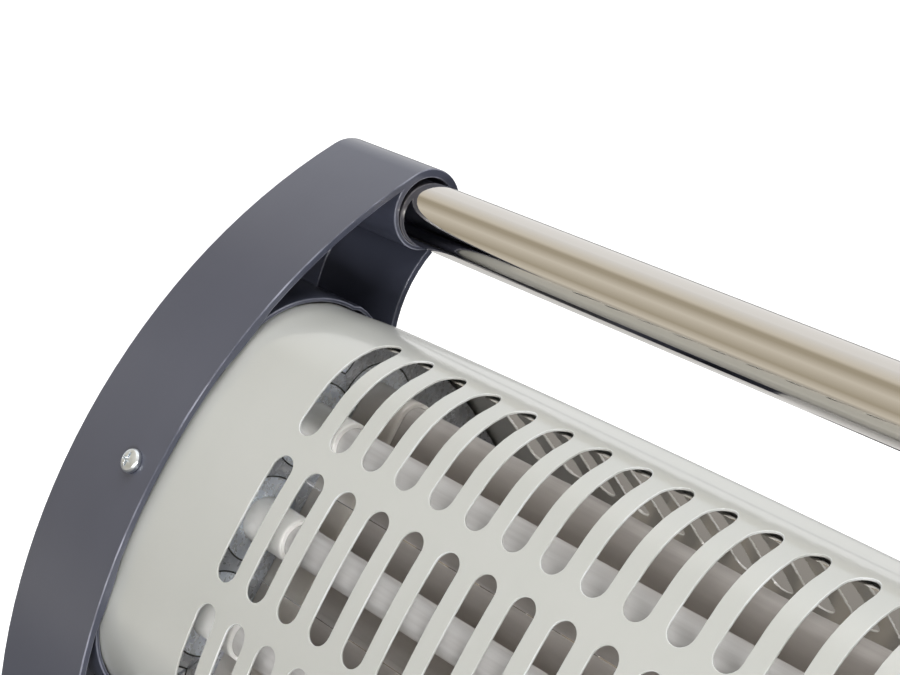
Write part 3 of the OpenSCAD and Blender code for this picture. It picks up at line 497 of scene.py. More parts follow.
class Tree:
    """Short words for adding and joining nodes."""

    def __init__(self, tree):
        self.tree = tree

    def add(self, kind, inputs=None, **settings):
        """A node with its settings, and its inputs joined or set."""
        node = self.tree.nodes.new(kind)
        for key, value in settings.items():
            setattr(node, key, value)
        self.feed(node, inputs or {})
        return node

    def feed(self, node, inputs):
        """Joins a node's inputs to sockets, or sets their values."""
        for key, value in inputs.items():
            if isinstance(value, NodeSocket):
                self.tree.links.new(value, node.inputs[key])
            else:
                node.inputs[key].default_value = value

    def place(self):
        """The object's own coordinates."""
        return self.add("ShaderNodeTexCoord").outputs["Object"]

    def bump(self, height, distance):
        """The normal over a height whose swing is distance in metres."""
        inputs = {"Height": height, "Distance": distance, "Strength": 1.0}
        return self.add("ShaderNodeBump", inputs).outputs[0]

    def math(self, operation, a, b=0.0, clamp=False):
        """The result of a Math node."""
        return self.add("ShaderNodeMath", {0: a, 1: b}, operation=operation, use_clamp=clamp).outputs[0]

    def mix(self, factor, a, b):
        """A colour between a and b."""
        node = self.add("ShaderNodeMix", {0: factor, 6: a, 7: b}, data_type="RGBA")
        return node.outputs[2]

    def between(self, value, low, high, out_low=0.0, out_high=1.0):
        """value mapped smoothly from low..high to out_low..out_high."""
        node = self.add("ShaderNodeMapRange", {
            "Value": value, "From Min": low, "From Max": high, "To Min": out_low, "To Max": out_high},
            interpolation_type="SMOOTHSTEP")
        return node.outputs[0]

    def noise(self, vector, scale, detail=3.0):
        """A noise texture's value."""
        node = self.add("ShaderNodeTexNoise", {
            "Vector": vector, "Scale": scale, "Detail": detail, "Roughness": 0.55})
        return node.outputs[0]


def group(name, inputs, outputs, build):
    """A shader node group, built once. build(tree, inputs) gives its outputs' values."""
    if name in bpy.data.node_groups:
        return bpy.data.node_groups[name]
    made = bpy.data.node_groups.new(name, "ShaderNodeTree")
    for label, (kind, value) in inputs.items():
        socket = made.interface.new_socket(name=label, in_out="INPUT", socket_type="NodeSocket" + kind)
        if value is not None:
            socket.default_value = value
    for label, kind in outputs.items():
        made.interface.new_socket(name=label, in_out="OUTPUT", socket_type="NodeSocket" + kind)
    tree = Tree(made)
    results = build(tree, tree.add("NodeGroupInput").outputs)
    tree.add("NodeGroupOutput", results)
    return made


def smears(tree, given):
    """Roughness that varies as wiped and handled surfaces do."""
    wide = tree.noise(given["Vector"], given["Scale"], 4.0)
    fine = tree.noise(given["Vector"], tree.math("MULTIPLY", given["Scale"], 9.0), 2.0)
    blend = tree.math("ADD", tree.math("MULTIPLY", wide, 0.75), tree.math("MULTIPLY", fine, 0.25))
    offset = tree.math("MULTIPLY", tree.math("SUBTRACT", blend, 0.5), given["Spread"])
    return {"Roughness": tree.math("ADD", given["Roughness"], offset, clamp=True)}


def grain(tree, given):
    """Fine height: a close grain over a broad unevenness."""
    close = tree.noise(given["Vector"], given["Scale"], 2.0)
    broad = tree.noise(given["Vector"], tree.math("DIVIDE", given["Scale"], 14.0), 1.0)
    return {"Height": tree.math("ADD", close, tree.math("MULTIPLY", broad, given["Unevenness"]))}


def edge_wear_and_highlight(tree, given):
    """The rounded edges, broken up by noise: where a finish lightens for wear, and on the end caps and the
    painted sheet for a painted highlight.
    """
    edge = tree.add("ShaderNodeAttribute", attribute_name=RIM).outputs["Fac"]
    patches = tree.between(tree.noise(given["Vector"], given["Scale"], 4.0), 0.35, 0.7)
    worn_and_lit = tree.math("MULTIPLY", edge, patches)
    return {"Mask": tree.math("MULTIPLY", worn_and_lit, given["Amount"], clamp=True)}


def dust(tree, given):
    """Where dust settles: surfaces that face up, in soft patches."""
    normal = tree.add("ShaderNodeNewGeometry").outputs["Normal"]
    up = tree.add("ShaderNodeSeparateXYZ", {0: normal}).outputs[2]
    patches = tree.between(tree.noise(given["Vector"], given["Scale"], 5.0), 0.42, 0.75)
    settled = tree.math("MULTIPLY", tree.between(up, 0.2, 1.0), patches)
    return {"Mask": tree.math("MULTIPLY", settled, given["Amount"], clamp=True)}


VECTOR = ("Vector", None)
GROUPS = {
    "Smears": ({"Vector": VECTOR, "Roughness": ("Float", 0.4), "Spread": ("Float", 0.1),
                "Scale": ("Float", 20.0)}, {"Roughness": "Float"}, smears),
    "Grain": ({"Vector": VECTOR, "Scale": ("Float", 900.0), "Unevenness": ("Float", 1.0)},
              {"Height": "Float"}, grain),
    "Edge wear": ({"Vector": VECTOR, "Scale": ("Float", 60.0), "Amount": ("Float", 0.5)},
                  {"Mask": "Float"}, edge_wear_and_highlight),
    "Dust": ({"Vector": VECTOR, "Scale": ("Float", 30.0), "Amount": ("Float", 0.1)},
             {"Mask": "Float"}, dust),
}


def use_group(tree, name, inputs):
    """Places a shared group in a material with its own values."""
    spec = GROUPS[name]
    return tree.add("ShaderNodeGroup", inputs, node_tree=group(name, *spec)).outputs


def rgba(colour):
    """A colour with full alpha."""
    return (*colour, 1.0)


# What each finish is made of, where it isn't as plain_finish has it
FINISHES = {
    # The end caps' lighter rounded edges are a painted highlight.
    "cap_plastic": dict(colour=(0.058, 0.063, 0.090), tone=(0.062, 0.067, 0.095), rough=0.3, spread=0.04,
                        grain=700, bump=0.00001, wear_and_highlight=(0.30, 0.31, 0.38), worn_and_lit=0.8, coat=0.35),
    "dark_plastic": dict(colour=(0.028, 0.028, 0.033), tone=(0.04, 0.04, 0.046), rough=0.32, spread=0.12,
                         wear_and_highlight=(0.12, 0.12, 0.14), worn_and_lit=0.3, dust=0.04),
    # The body paint's lighter rounded edges, round the slots too, are a painted highlight.
    "body_paint": dict(colour=(0.47, 0.477, 0.45), tone=(0.48, 0.485, 0.459), rough=0.3, spread=0.05,
                       grain=420, bump=0.000006, wear_and_highlight=(0.80, 0.82, 0.84), worn_and_lit=0.5, coat=1.0),
    "zinc_steel": dict(colour=(0.72, 0.76, 0.80), tone=(0.58, 0.61, 0.65), rough=0.3, spread=0.2,
                       grain=1500, bump=0.00004, metal=1.0, wear_and_highlight=(0.9, 0.92, 0.94), worn_and_lit=0.6),
    "brass_terminals": dict(colour=(0.70, 0.50, 0.22), tone=(0.5, 0.36, 0.17), rough=0.35, spread=0.2,
                            grain=1200, bump=0.00002, metal=1.0),
    "ceramic": dict(colour=(0.96, 0.95, 0.91), tone=(0.98, 0.975, 0.95), rough=0.3,
                    grain=1400, bump=0.00002, wear_and_highlight=(0.97, 0.96, 0.93), worn_and_lit=0.3, coat=0.5),
    "heating_wire": dict(colour=(0.30, 0.26, 0.23), tone=(0.18, 0.16, 0.15), rough=0.5, spread=0.2,
                         grain=2000, bump=0.00002, metal=0.8),
    "lead_sleeve": dict(colour=(0.62, 0.60, 0.56), tone=(0.5, 0.48, 0.45), rough=0.8,
                        grain=1800, bump=0.0001),
    "switch_body": dict(colour=(0.07, 0.045, 0.035), tone=(0.1, 0.06, 0.045), rough=0.5, spread=0.15,
                        bump=0.00004),
    "white_nylon": dict(colour=(0.72, 0.71, 0.66), tone=(0.78, 0.77, 0.73), rough=0.45),
    "plunger_plastic": dict(colour=(0.42, 0.06, 0.035), tone=(0.5, 0.09, 0.05), rough=0.35),
    "foot_rubber": dict(colour=(0.022, 0.022, 0.022), tone=(0.035, 0.035, 0.034), rough=0.75, spread=0.15,
                        grain=1300, bump=0.00008, dust=0.2),
}


def plain_finish(name, colour, tone, rough, spread=0.1, grain=900, bump=0.00003, metal=0.0,
                 wear_and_highlight=None, worn_and_lit=0.0, dust=0.0, coat=0.0):
    """A moulded, painted or metal surface with patches, smears, grain, lightened edges and dust. The lightened
    edges stand for wear, and on the end caps and the body paint for a painted highlight.
    Colours are linear, the grain's scale is per metre and its height, bump, in metres."""
    made, tree, shader = new_material(name)
    place = tree.place()
    patches = tree.between(tree.noise(place, 35.0, 4.0), 0.35, 0.7)
    base = tree.mix(patches, rgba(colour), rgba(tone))
    if worn_and_lit:
        mask = use_group(tree, "Edge wear", {"Vector": place, "Amount": worn_and_lit})["Mask"]
        base = tree.mix(mask, base, rgba(wear_and_highlight))
    if dust:
        mask = use_group(tree, "Dust", {"Vector": place, "Amount": dust})["Mask"]
        base = tree.mix(mask, base, rgba((0.6, 0.59, 0.56)))
    smeared = use_group(tree, "Smears", {"Vector": place, "Roughness": rough, "Spread": spread})
    height = use_group(tree, "Grain", {"Vector": place, "Scale": float(grain)})["Height"]
    tree.feed(shader, {"Base Color": base, "Roughness": smeared["Roughness"], "Metallic": metal,
                       "Normal": tree.bump(height, bump), "Coat Weight": coat, "Coat Roughness": 0.12})
    return made


def new_material(name):
    """An empty material with a Principled shader: (material, tree, shader)."""
    made = bpy.data.materials.new(name)
    made.use_nodes = True
    tree = Tree(made.node_tree)
    shader = made.node_tree.nodes["Principled BSDF"]
    return made, tree, shader


def stretched(tree, scale):
    """The object's own coordinates, scaled, in the body's tilt."""
    turned = tree.add("ShaderNodeMapping", {"Vector": tree.place(), "Rotation": (TILT, 0, 0)}).outputs[0]
    return tree.add("ShaderNodeMapping", {"Vector": turned, "Scale": scale}).outputs[0]


def in_body(tree):
    """Places along the body, behind the grille and over its middle, as a vector."""
    start = Matrix.Rotation(TILT, 3, "X") @ Vector((MIDDLE_X, FACE_Y, FACE_Z))
    moved = tree.add("ShaderNodeMapping", {
        "Vector": tree.place(), "Rotation": (TILT, 0, 0), "Location": -start})
    return moved.outputs[0]


# Bright metals: lines run along the heater, so their scale is per metre along, across and up
BRIGHT = {
    "handle_chrome": dict(lines=(4.0, 900.0, 900.0), detail=2.0, rough=0.05, spread=0.05, smears=40.0,
                          patches=12.0, colour=(0.64, 0.605, 0.56), tone=(0.68, 0.655, 0.62)),
    "polished_reflector": dict(lines=(6.0, 700.0, 700.0), detail=3.0, rough=0.02, spread=0.03, smears=30.0,
                               patches=18.0, colour=(0.68, 0.65, 0.63), tone=(0.78, 0.76, 0.745)),
}


def bright_finish(name, lines, detail, rough, spread, smears, patches, colour, tone):
    """Plated or polished metal with faint lines along it, fingerprints and a tint in patches."""
    made, tree, shader = new_material(name)
    place = tree.place()
    drawn = tree.noise(stretched(tree, lines), 1.0, detail)
    smeared = use_group(tree, "Smears", {
        "Vector": place, "Roughness": rough, "Spread": spread, "Scale": smears})
    tint = tree.mix(tree.noise(place, patches, 3.0), rgba(colour), rgba(tone))
    tree.feed(shader, {"Base Color": tint, "Roughness": smeared["Roughness"], "Metallic": 1.0,
                       "Normal": tree.bump(drawn, 0.000002)})
    return made


def spangle_finish(name):
    """Galvanised sheet: zinc crystals, darker metal beyond the disc round each holder, and painted shade in the
    pressed groove at its edge.
    """
    made, tree, shader = new_material(name)
    place = stretched(tree, (1.0, 1.0, 1.0))
    crystals = tree.add("ShaderNodeTexVoronoi", {"Vector": place, "Scale": 650.0, "Randomness": 1.0})
    shade = tree.add("ShaderNodeSeparateColor", {0: crystals.outputs["Color"]}).outputs[0]
    fine = tree.noise(place, 1400.0, 2.0)
    both = tree.math("ADD", tree.math("MULTIPLY", shade, 0.7), tree.math("MULTIPLY", fine, 0.5), clamp=True)
    colour = tree.mix(both, rgba((0.50, 0.56, 0.66)), rgba((0.84, 0.89, 0.95)))
    places = tree.add("ShaderNodeSeparateXYZ", {0: in_body(tree)}).outputs
    up = tree.math("PINGPONG", places[2], ELEMENT_PITCH / 2)
    way = tree.add("ShaderNodeCombineXYZ", {1: tree.math("SUBTRACT", places[1], ELEMENT_D), 2: up})
    radius = tree.add("ShaderNodeVectorMath", {0: way.outputs[0]}, operation="LENGTH").outputs["Value"]
    darker_beyond = tree.between(radius, PRESSED_R, PRESSED_R + 0.6 * MM, 0.0, 0.55)
    # A near-black ring at the pressed groove: painted shade.
    beside = tree.math("ABSOLUTE", tree.math("SUBTRACT", radius, PRESSED_R))
    groove_shade = tree.between(beside, 0.15 * MM, 0.45 * MM, 1.0, 0.0)
    colour = tree.mix(darker_beyond, colour, rgba((0.20, 0.20, 0.21)))
    colour = tree.mix(groove_shade, colour, rgba((0.012, 0.012, 0.014)))
    tree.feed(shader, {"Base Color": colour, "Roughness": tree.between(both, 0.0, 1.0, 0.45, 0.22),
                       "Metallic": 0.6, "Normal": tree.bump(shade, 0.00003)})
    return made


def quartz_finish(name):
    """Frosted quartz glass, with soft streaks along the tube."""
    made, tree, shader = new_material(name)
    streaks = tree.noise(stretched(tree, (16.0, 420.0, 420.0)), 1.0, 3.0)
    frost = tree.between(streaks, 0.3, 0.75)
    colour = tree.mix(frost, rgba((0.58, 0.565, 0.555)), rgba((0.68, 0.67, 0.66)))
    tree.feed(shader, {"Base Color": colour, "Roughness": tree.between(streaks, 0.2, 0.8, 0.36, 0.46),
                       "Normal": tree.bump(streaks, 0.00002), "Alpha": 0.9, "IOR": 1.46,
                       "Coat Weight": 0.2, "Coat Roughness": 0.2})
    return made


SPECIAL = {"galvanised_plate": spangle_finish, "frosted_quartz": quartz_finish}


def material(finish):
    """The material of a finish, made on first use."""
    label = finish.replace("_", " ").capitalize() + " finish"
    if label in bpy.data.materials:
        return bpy.data.materials[label]
    if finish in SPECIAL:
        return SPECIAL[finish](label)
    if finish in BRIGHT:
        return bright_finish(label, **BRIGHT[finish])
    return plain_finish(label, **FINISHES[finish])


# ---------- what a user may change ----------

class HeaterBodySettings(PropertyGroup):
    """Sizes of the slotted grille"""
    slot_count: IntProperty(name="Slots", description="Slots in each row", default=18, min=4)
    slot_pitch: FloatProperty(
        name="Slot pitch", description="Distance from slot to slot", default=15.35 * MM, unit="LENGTH")
    slot_width: FloatProperty(
        name="Slot width", description="Width of a slot", default=8.8 * MM, unit="LENGTH")
    middle_slot: FloatProperty(
        name="Middle slots", description="Length of a middle slot", default=42 * MM, unit="LENGTH")
    corner_slot: FloatProperty(
        name="Corner slots", description="Height that an outer slot spans", default=37 * MM,
        unit="LENGTH")
    row_land: FloatProperty(
        name="Row land", description="Plain sheet between the rows", default=7.6 * MM, unit="LENGTH")
    rows_up: FloatProperty(
        name="Rows up", description="How far the rows sit above the body's middle", default=1.7 * MM,
        unit="LENGTH")
    sheet_edge: FloatProperty(
        name="Sheet edge", description="Radius of the painted edges", default=0.22 * MM, unit="LENGTH")


class HeaterElementSettings(PropertyGroup):
    """Sizes of the troughs and the wound wires"""
    trough_sheet: FloatProperty(
        name="Trough sheet", description="Thickness of a trough's sheet", default=0.6 * MM, unit="LENGTH")
    trough_gap: FloatProperty(
        name="Trough gap", description="From a trough's edge to half-way to the next", default=0.15 * MM,
        unit="LENGTH")
    trough_wing: FloatProperty(
        name="Outer wing", description="Height of an outer wing over its element", default=31.5 * MM,
        unit="LENGTH")
    trough_bend: FloatProperty(
        name="Bends", description="Height over the element where a wing is straight", default=15 * MM,
        unit="LENGTH")
    trough_tab: FloatProperty(
        name="Tabs", description="Length of the tabs past a trough's ends", default=3.3 * MM,
        unit="LENGTH")
    trough_uneven: FloatProperty(
        name="Unevenness", description="How far a trough's sheet waves", default=0.4 * MM, unit="LENGTH")
    coil_turns: IntProperty(name="Turns", description="Turns of a heating wire", default=150, min=10)
    coil_radius: FloatProperty(
        name="Coil radius", description="Radius to the middle of the wire", default=3.9 * MM,
        unit="LENGTH")
    coil_wire: FloatProperty(
        name="Wire radius", description="Radius of the heating wire", default=0.3 * MM, unit="LENGTH")


class HeaterEdgeSettings(PropertyGroup):
    """Rounding of the moulded and turned pieces"""
    cap_edge: FloatProperty(
        name="End caps", description="Radius of the end caps' edges", default=0.4 * MM, unit="LENGTH")
    ceramic_edge: FloatProperty(
        name="Ceramics", description="Radius of the ceramic holders' edges", default=1.35 * MM,
        unit="LENGTH")
    small_edge: FloatProperty(
        name="Small pieces", description="Radius of the small pieces' edges", default=0.25 * MM,
        unit="LENGTH")
    knob_edge: FloatProperty(
        name="Knob", description="Radius of the knob's edges", default=0.8 * MM, unit="LENGTH")
    housing_edge: FloatProperty(
        name="Rear sheet", description="Radius of the rear sheet's edges", default=0.15 * MM,
        unit="LENGTH")


class HeaterStageSettings(PropertyGroup):
    """Camera, lamps and floor"""
    lens: FloatProperty(
        name="Lens", description="Focal length on a 36 mm sensor", default=79.65, unit="CAMERA")
    camera_place: FloatVectorProperty(
        name="Camera", description="Place of the camera", default=(0.3004, -0.3273, 0.4546),
        subtype="TRANSLATION")
    camera_aim: FloatVectorProperty(
        name="Aim", description="Direction that the camera looks in", default=(-0.70875, 0.58811, -0.38961),
        subtype="DIRECTION")
    top_light: FloatProperty(
        name="Top lamp", description="Power of the lamp overhead in watts", default=20.0)
    side_light: FloatProperty(
        name="Side lamp", description="Power of the lamp at the right in watts", default=5.0)
    high_light: FloatProperty(
        name="High lamp", description="Power of the lamp high in front in watts", default=2.5)
    low_light: FloatProperty(
        name="Low lamp", description="Power of the lamp low in front in watts", default=14.0)
    sky: FloatProperty(
        name="Sky", description="Strength of the even light from all round", default=0.06)
    tent: FloatProperty(
        name="Tent", description="Radius of the cloth over the front, about the handle", default=1.2,
        unit="LENGTH")
    # Colour of the painted shade sheet: a near-black glow that shiny surfaces see behind the heater
    painted_shade_colour: FloatVectorProperty(
        name="Dark cloth", description="Colour of the cloth behind",
        subtype="COLOR", default=(0.03, 0.03, 0.035), min=0, max=1)
    floor_glow: FloatProperty(
        name="Floor glow", description="How far the floor glows where it is seen", default=0.85)
    floor_mirrored: FloatProperty(
        name="Mirrored glow", description="How far metal and glass see it glow", default=0.2)
    floor_colour: FloatVectorProperty(
        name="Floor", description="Colour of the floor",
        subtype="COLOR", default=(0.64, 0.64, 0.64), min=0, max=1)


# Place and size of each lamp in metres, and the setting that holds its power
LAMPS = {
    "Top lamp": ((-0.1, 0.15, 1.5), (1.4, 0.9), "top_light"),
    "Side lamp": ((1.4, -0.35, 0.6), (0.2, 0.2), "side_light"),
    "High lamp": ((0.3, -0.54, 1.54), (0.3, 0.3), "high_light"),
    "Low lamp": ((0.85, -1.17, 0.31), (0.3, 0.3), "low_light"),
}
LAMP_AIM = Vector((0, 0, 0.15))

# The glowing sheet over the front, seen only in reflections: plain colours, of which lit and shaded are painted
# light and shade on one cloth, and its bands by their direction from the handle, in degrees: 90 is overhead, 180
# level in front
PAINTED_REFLECTION_COLOURS = {
    "pale": (0.95, 0.95, 0.95), "lit": (0.80, 0.75, 0.65), "shaded": (0.50, 0.45, 0.35), "dark": (0.2, 0.2, 0.2)}
PAINTED_TENT_BANDS = [
    (60, "pale"), (95, "lit"), (105, "shaded"), (115, "shaded"), (140, "lit"), (175, "shaded"), (195, "lit"),
    (230, "dark")]


# ---------- operators ----------

class HeaterOperator(Operator):
    """What every step shares"""
    bl_options = {"REGISTER", "UNDO"}

    def execute(self, context):
        self.make(context.scene)
        return {"FINISHED"}


class HEATER_OT_stage(HeaterOperator):
    """Camera, lamps, floor and surroundings"""
    bl_idname = "heater.stage"
    bl_label = "Stage"

    def make(self, scene):
        settings = scene.heater_stage
        scene.view_settings.view_transform = "Standard"
        self.camera(scene, settings)
        for name, (place, size, power) in LAMPS.items():
            self.lamp(name, Vector(place), size, getattr(settings, power))
        self.tent(settings)
        self.painted_shade_sheet(settings)
        self.floor(settings)
        self.surroundings(scene, settings)

    def camera(self, scene, settings):
        """The photograph's viewing angle."""
        data = bpy.data.cameras.new("Camera")
        data.lens, data.sensor_width = settings.lens, 36.0
        data.clip_start, data.clip_end = 0.02, 50.0
        camera = linked("Photo camera", data)
        camera.location = settings.camera_place
        camera.rotation_mode = "QUATERNION"
        camera.rotation_quaternion = Vector(settings.camera_aim).to_track_quat("-Z", "Y")
        scene.camera = camera

    def lamp(self, name, place, size, power):
        """A soft rectangular lamp that faces the heater."""
        data = bpy.data.lights.new(name, "AREA")
        data.shape, data.size, data.size_y, data.energy = "RECTANGLE", size[0], size[1], power
        lamp = linked(name, data)
        lamp.location = place
        lamp.rotation_euler = (LAMP_AIM - place).to_track_quat("-Z", "Y").to_euler()

    def tent(self, settings):
        """The glowing sheet over the front, whose painted light and shade give the handle its reflected bands.
        """
        handle = (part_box("handle_tube")[0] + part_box("handle_tube")[1]) / 2
        rows = []
        for angle, painted_band in PAINTED_TENT_BANDS:
            a = math.radians(angle)
            reach = settings.tent
            if handle.z + reach * math.sin(a) < MM:
                reach = (MM - handle.z) / math.sin(a)
            y, z = handle.y + reach * math.cos(a), handle.z + reach * math.sin(a)
            rows.append(([(-3.5, y, z), (2.0, y, z)], PAINTED_REFLECTION_COLOURS[painted_band]))
        self.cloth("Tent", rows)

    def painted_shade_sheet(self, settings):
        """A dark glowing sheet on the floor behind, seen only in reflections: painted shade that keeps the caps'
        hollows dark.
        """
        # Painted shade: shiny surfaces see this near-black sheet instead of the lit floor.
        rows = [([(-0.2, y, MM), (1.2, y, MM)], settings.painted_shade_colour) for y in (0.2, 1.2)]
        self.cloth("Dark cloth", rows)

    def cloth(self, name, rows):
        """A glowing sheet that only shiny surfaces see, from rows of two places and a colour."""
        bm = bmesh.new()
        layer = bm.loops.layers.float_color.new("Cloth")
        made_rows = [([bm.verts.new(place) for place in places], colour) for places, colour in rows]
        for (low, low_colour), (high, high_colour) in zip(made_rows, made_rows[1:]):
            face = bm.faces.new((low[0], low[1], high[1], high[0]))
            for loop, colour in zip(face.loops, (low_colour, low_colour, high_colour, high_colour)):
                loop[layer] = rgba(colour)
        sheet = linked(name, mesh_from(name, bm))
        made, tree, shader = new_material(name + " finish")
        # The sheet's colours are painted light and shade, glowing only in reflections.
        painted_glow = tree.add("ShaderNodeVertexColor", layer_name="Cloth").outputs["Color"]
        glow = tree.add("ShaderNodeEmission", {"Color": painted_glow})
        tree.feed(made.node_tree.nodes["Material Output"], {"Surface": glow.outputs[0]})
        made.node_tree.nodes.remove(shader)
        sheet.data.materials.append(made)
        sheet.visible_camera = sheet.visible_diffuse = sheet.visible_shadow = False

    def floor(self, settings):
        """A wide pale floor that keeps the heater's shadow."""
        bm = bmesh.new()
        bmesh.ops.create_grid(bm, x_segments=2, y_segments=2, size=6.0)
        floor = linked("Floor", mesh_from("Floor", bm))
        made, tree, shader = new_material("Pale floor")
        shade = tree.mix(tree.noise(tree.place(), 3.0), rgba(settings.floor_colour),
                         rgba([min(1.0, c * 1.02) for c in settings.floor_colour]))
        tree.feed(shader, {"Base Color": shade, "Roughness": 0.9})
        path = tree.add("ShaderNodeLightPath").outputs
        mirrored = tree.math("MAXIMUM", path["Is Glossy Ray"], path["Is Transmission Ray"])
        seen = tree.math("MAXIMUM", tree.math("MULTIPLY", path["Is Camera Ray"], settings.floor_glow),
                         tree.math("MULTIPLY", mirrored, settings.floor_mirrored))
        glow = tree.add("ShaderNodeEmission", {"Color": (1, 1, 1, 1), "Strength": seen})
        both = tree.add("ShaderNodeAddShader", {0: shader.outputs[0], 1: glow.outputs[0]})
        tree.feed(made.node_tree.nodes["Material Output"], {"Surface": both.outputs[0]})
        floor.data.materials.append(made)

    def surroundings(self, scene, settings):
        """Even light, seen as white by the camera and in metal and glass."""
        world = bpy.data.worlds.new("Surroundings")
        scene.world = world
        world.use_nodes = True
        tree = Tree(world.node_tree)
        path = tree.add("ShaderNodeLightPath").outputs
        seen = tree.math("MAXIMUM", path["Is Camera Ray"],
                         tree.math("MAXIMUM", path["Is Glossy Ray"], path["Is Transmission Ray"]))
        strength = tree.between(seen, 0.0, 1.0, settings.sky, 1.0)
        tree.feed(world.node_tree.nodes["Background"], {"Color": (1, 1, 1, 1), "Strength": strength})


class HEATER_OT_end_caps(HeaterOperator):
    """The two moulded end caps with rounded edges, and the cover of the right leg"""
    bl_idname = "heater.end_caps"
    bl_label = "End caps"

    def make(self, scene):
        edges = scene.heater_edges
        for side in ("left", "right"):
            bm = welded_copy(side + "_end_cap")
            self.press_rib(bm)
            round_edges(bm, edges.cap_edge, segments=3)
            add_piece(side + "_cap_moulding", bm, "cap_plastic", [side + "_end_cap"])
        rounded_piece("right_leg_lid", "right_leg_cover", "cap_plastic", edges.small_edge)

    def press_rib(self, bm):
        """Lays the rib against the sheet that it presses in."""
        to_body = IN_BODY.inverted()
        for vert in bm.verts:
            x, d, z = to_body @ vert.co
            out = Vector((d - CORNER_D, abs(z) - CORNER_Z))
            if RIB_NEAR < out.length - CORNER_R < RIB_FAR and out.y > 0 and d < CORNER_D:
                inwards = out.normalized() * tuck(x, z)
                place = Vector((x, d - inwards.x, z - math.copysign(inwards.y, z)))
                vert.co = IN_BODY @ place


class HEATER_OT_handle(HeaterOperator):
    """The plated handle tube with its plugs"""
    bl_idname = "heater.handle"
    bl_label = "Handle"

    def make(self, scene):
        dress("handle_chrome", "handle_tube")
        dress("dark_plastic", "left_handle_plug", "right_handle_plug")


class HEATER_OT_grille(HeaterOperator):
    """The slotted front sheet"""
    bl_idname = "heater.grille"
    bl_label = "Grille"

    def make(self, scene):
        bm = SlottedSheet(scene.heater_body).build()
        add_piece("slotted_grille", bm, "body_paint", ["front_grille"], sharp=180)


class HEATER_OT_housing(HeaterOperator):
    """The rear sheet with its vents"""
    bl_idname = "heater.housing"
    bl_label = "Rear housing"

    def make(self, scene):
        bm = welded_copy("rear_housing")
        round_edges(bm, scene.heater_edges.housing_edge)
        for x in spaced(-CAP_RIM, CAP_RIM, SPRING_STEPS):
            bmesh.ops.bisect_plane(bm, geom=[*bm.verts, *bm.edges, *bm.faces],
                                   plane_co=(MIDDLE_X + x, 0, 0), plane_no=(1, 0, 0))
        to_body = IN_BODY.inverted()
        for vert in bm.verts:
            x, d, z = to_body @ vert.co
            share = ease(abs(z), *SPRUNG_SIDE) * (1 - ease(d, *SPRUNG_REAR))
            vert.co = IN_BODY @ Vector((x, d, z + math.copysign(swell(x, share), z)))
        add_piece("rear_sheet", bm, "body_paint", ["rear_housing"])


class HEATER_OT_troughs(HeaterOperator):
    """The three polished troughs behind the elements"""
    bl_idname = "heater.troughs"
    bl_label = "Reflector troughs"

    def make(self, scene):
        for name, row in ELEMENTS.items():
            bm = trough("reflector_" + name, row, scene.heater_elements)
            add_piece("trough_" + name, bm, "polished_reflector", ["reflector_" + name])


class HEATER_OT_elements(HeaterOperator):
    """Quartz tubes, wound wires, ceramic holders, plates and terminals"""
    bl_idname = "heater.elements"
    bl_label = "Elements"

    def make(self, scene):
        settings, edges = scene.heater_elements, scene.heater_edges
        for name, row in ELEMENTS.items():
            dress("frosted_quartz", "quartz_tube_" + name)
            node = "heating_coil_" + name
            low, high = (corner.x - MIDDLE_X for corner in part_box(node))
            add_piece("wound_wire_" + name, coil(low, high, row, settings), "heating_wire", [node])
            for side in ("left", "right"):
                rounded_piece(f"{side}_holder_{name}", f"{side}_ceramic_{name}", "ceramic",
                              edges.ceramic_edge, segments=4)
        dress("galvanised_plate", "left_element_plate", "right_element_plate")
        dress("brass_terminals", "left_terminal_pins", "right_terminal_pins", "terminal_nuts",
              "left_link_bar")


class HEATER_OT_fixings(HeaterOperator):
    """Every screw, the outer ones with soft edges"""
    bl_idname = "heater.fixings"
    bl_label = "Screws"

    def make(self, scene):
        edge = scene.heater_edges.small_edge / 2
        for name in ("handle", "housing", "left_cap", "right_cap", "leg_cover"):
            rounded_piece(name + "_screw_set", name + "_screws", "zinc_steel", edge)
        dress("zinc_steel", "cutout_screws", "terminal_block_screws")


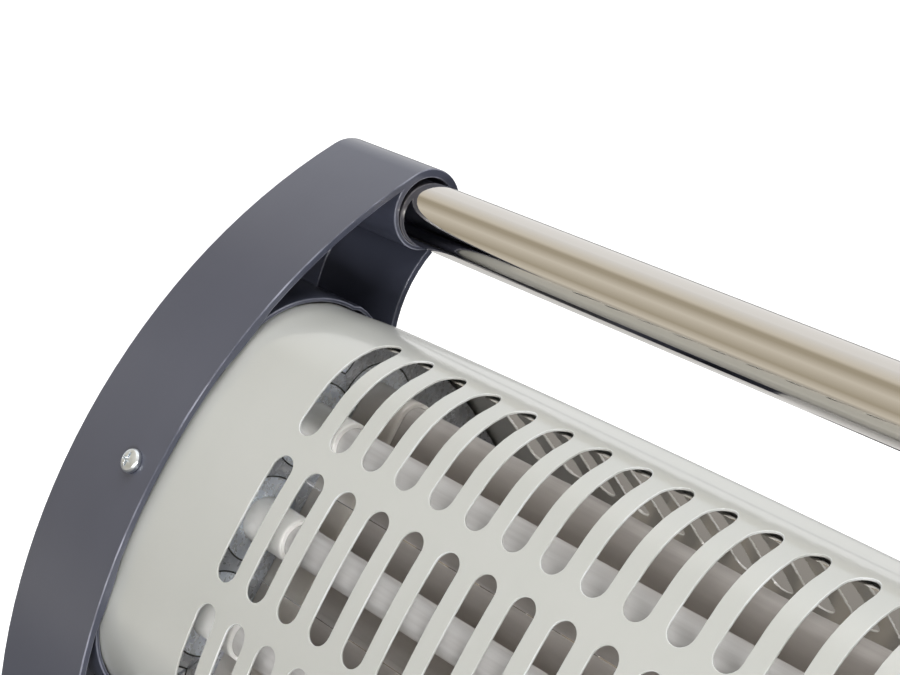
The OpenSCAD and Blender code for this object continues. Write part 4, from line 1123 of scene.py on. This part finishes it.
class HEATER_OT_controls(HeaterOperator):
    """Selector, tip-over switch, cut-out, terminal block, leads and cord gland"""
    bl_idname = "heater.controls"
    bl_label = "Controls and wiring"

    def make(self, scene):
        edges = scene.heater_edges
        rounded_piece("selector_grip", "selector_knob", "dark_plastic", edges.knob_edge,
                      body="selector", segments=3)
        rounded_piece("inlet_gland", "cord_gland", "dark_plastic", edges.small_edge)
        dress("zinc_steel", "selector_shaft", "selector_nut", "plunger_spring")
        dress("switch_body", "selector_switch", "thermal_cutout")
        dress("white_nylon", "tip_switch_housing", "terminal_block")
        dress("plunger_plastic", "tip_switch_plunger")
        dress("dark_plastic", "tip_microswitch", "gland_nut")
        dress("lead_sleeve", "selector_leads", "return_lead", "supply_leads")


class HEATER_OT_feet(HeaterOperator):
    """The four rubber feet"""
    bl_idname = "heater.feet"
    bl_label = "Feet"

    def make(self, scene):
        for side in ("left", "right"):
            rounded_piece(side + "_foot_pair", side + "_feet", "foot_rubber",
                          2 * scene.heater_edges.small_edge, segments=3)


STEPS = (HEATER_OT_stage, HEATER_OT_end_caps, HEATER_OT_handle, HEATER_OT_grille, HEATER_OT_housing,
         HEATER_OT_troughs, HEATER_OT_elements, HEATER_OT_fixings, HEATER_OT_controls, HEATER_OT_feet)


class HEATER_PT_parts(Panel):
    """Lists the heater's steps and settings"""
    bl_label = "Parabolic heater"
    bl_space_type = "VIEW_3D"
    bl_region_type = "UI"
    bl_category = "Heater"

    def draw(self, context):
        for step in STEPS:
            self.layout.operator(step.bl_idname)
        for name in SETTINGS:
            settings = getattr(context.scene, name)
            box = self.layout.box()
            for key in settings.__annotations__:
                box.prop(settings, key)


SETTINGS = {
    "heater_body": HeaterBodySettings,
    "heater_elements": HeaterElementSettings,
    "heater_edges": HeaterEdgeSettings,
    "heater_stage": HeaterStageSettings,
}
CLASSES = (*SETTINGS.values(), *STEPS, HEATER_PT_parts)


def register():
    """Adds the classes and the scene's settings."""
    for cls in CLASSES:
        bpy.utils.register_class(cls)
    for name, kind in SETTINGS.items():
        setattr(bpy.types.Scene, name, PointerProperty(type=kind))


def unregister():
    """Takes them away again."""
    for name in SETTINGS:
        delattr(bpy.types.Scene, name)
    for cls in reversed(CLASSES):
        bpy.utils.unregister_class(cls)


def main():
    """Makes the whole heater."""
    register()
    for step in STEPS:
        family, name = step.bl_idname.split(".")
        getattr(getattr(bpy.ops, family), name)()


if __name__ == "__main__":
    main()
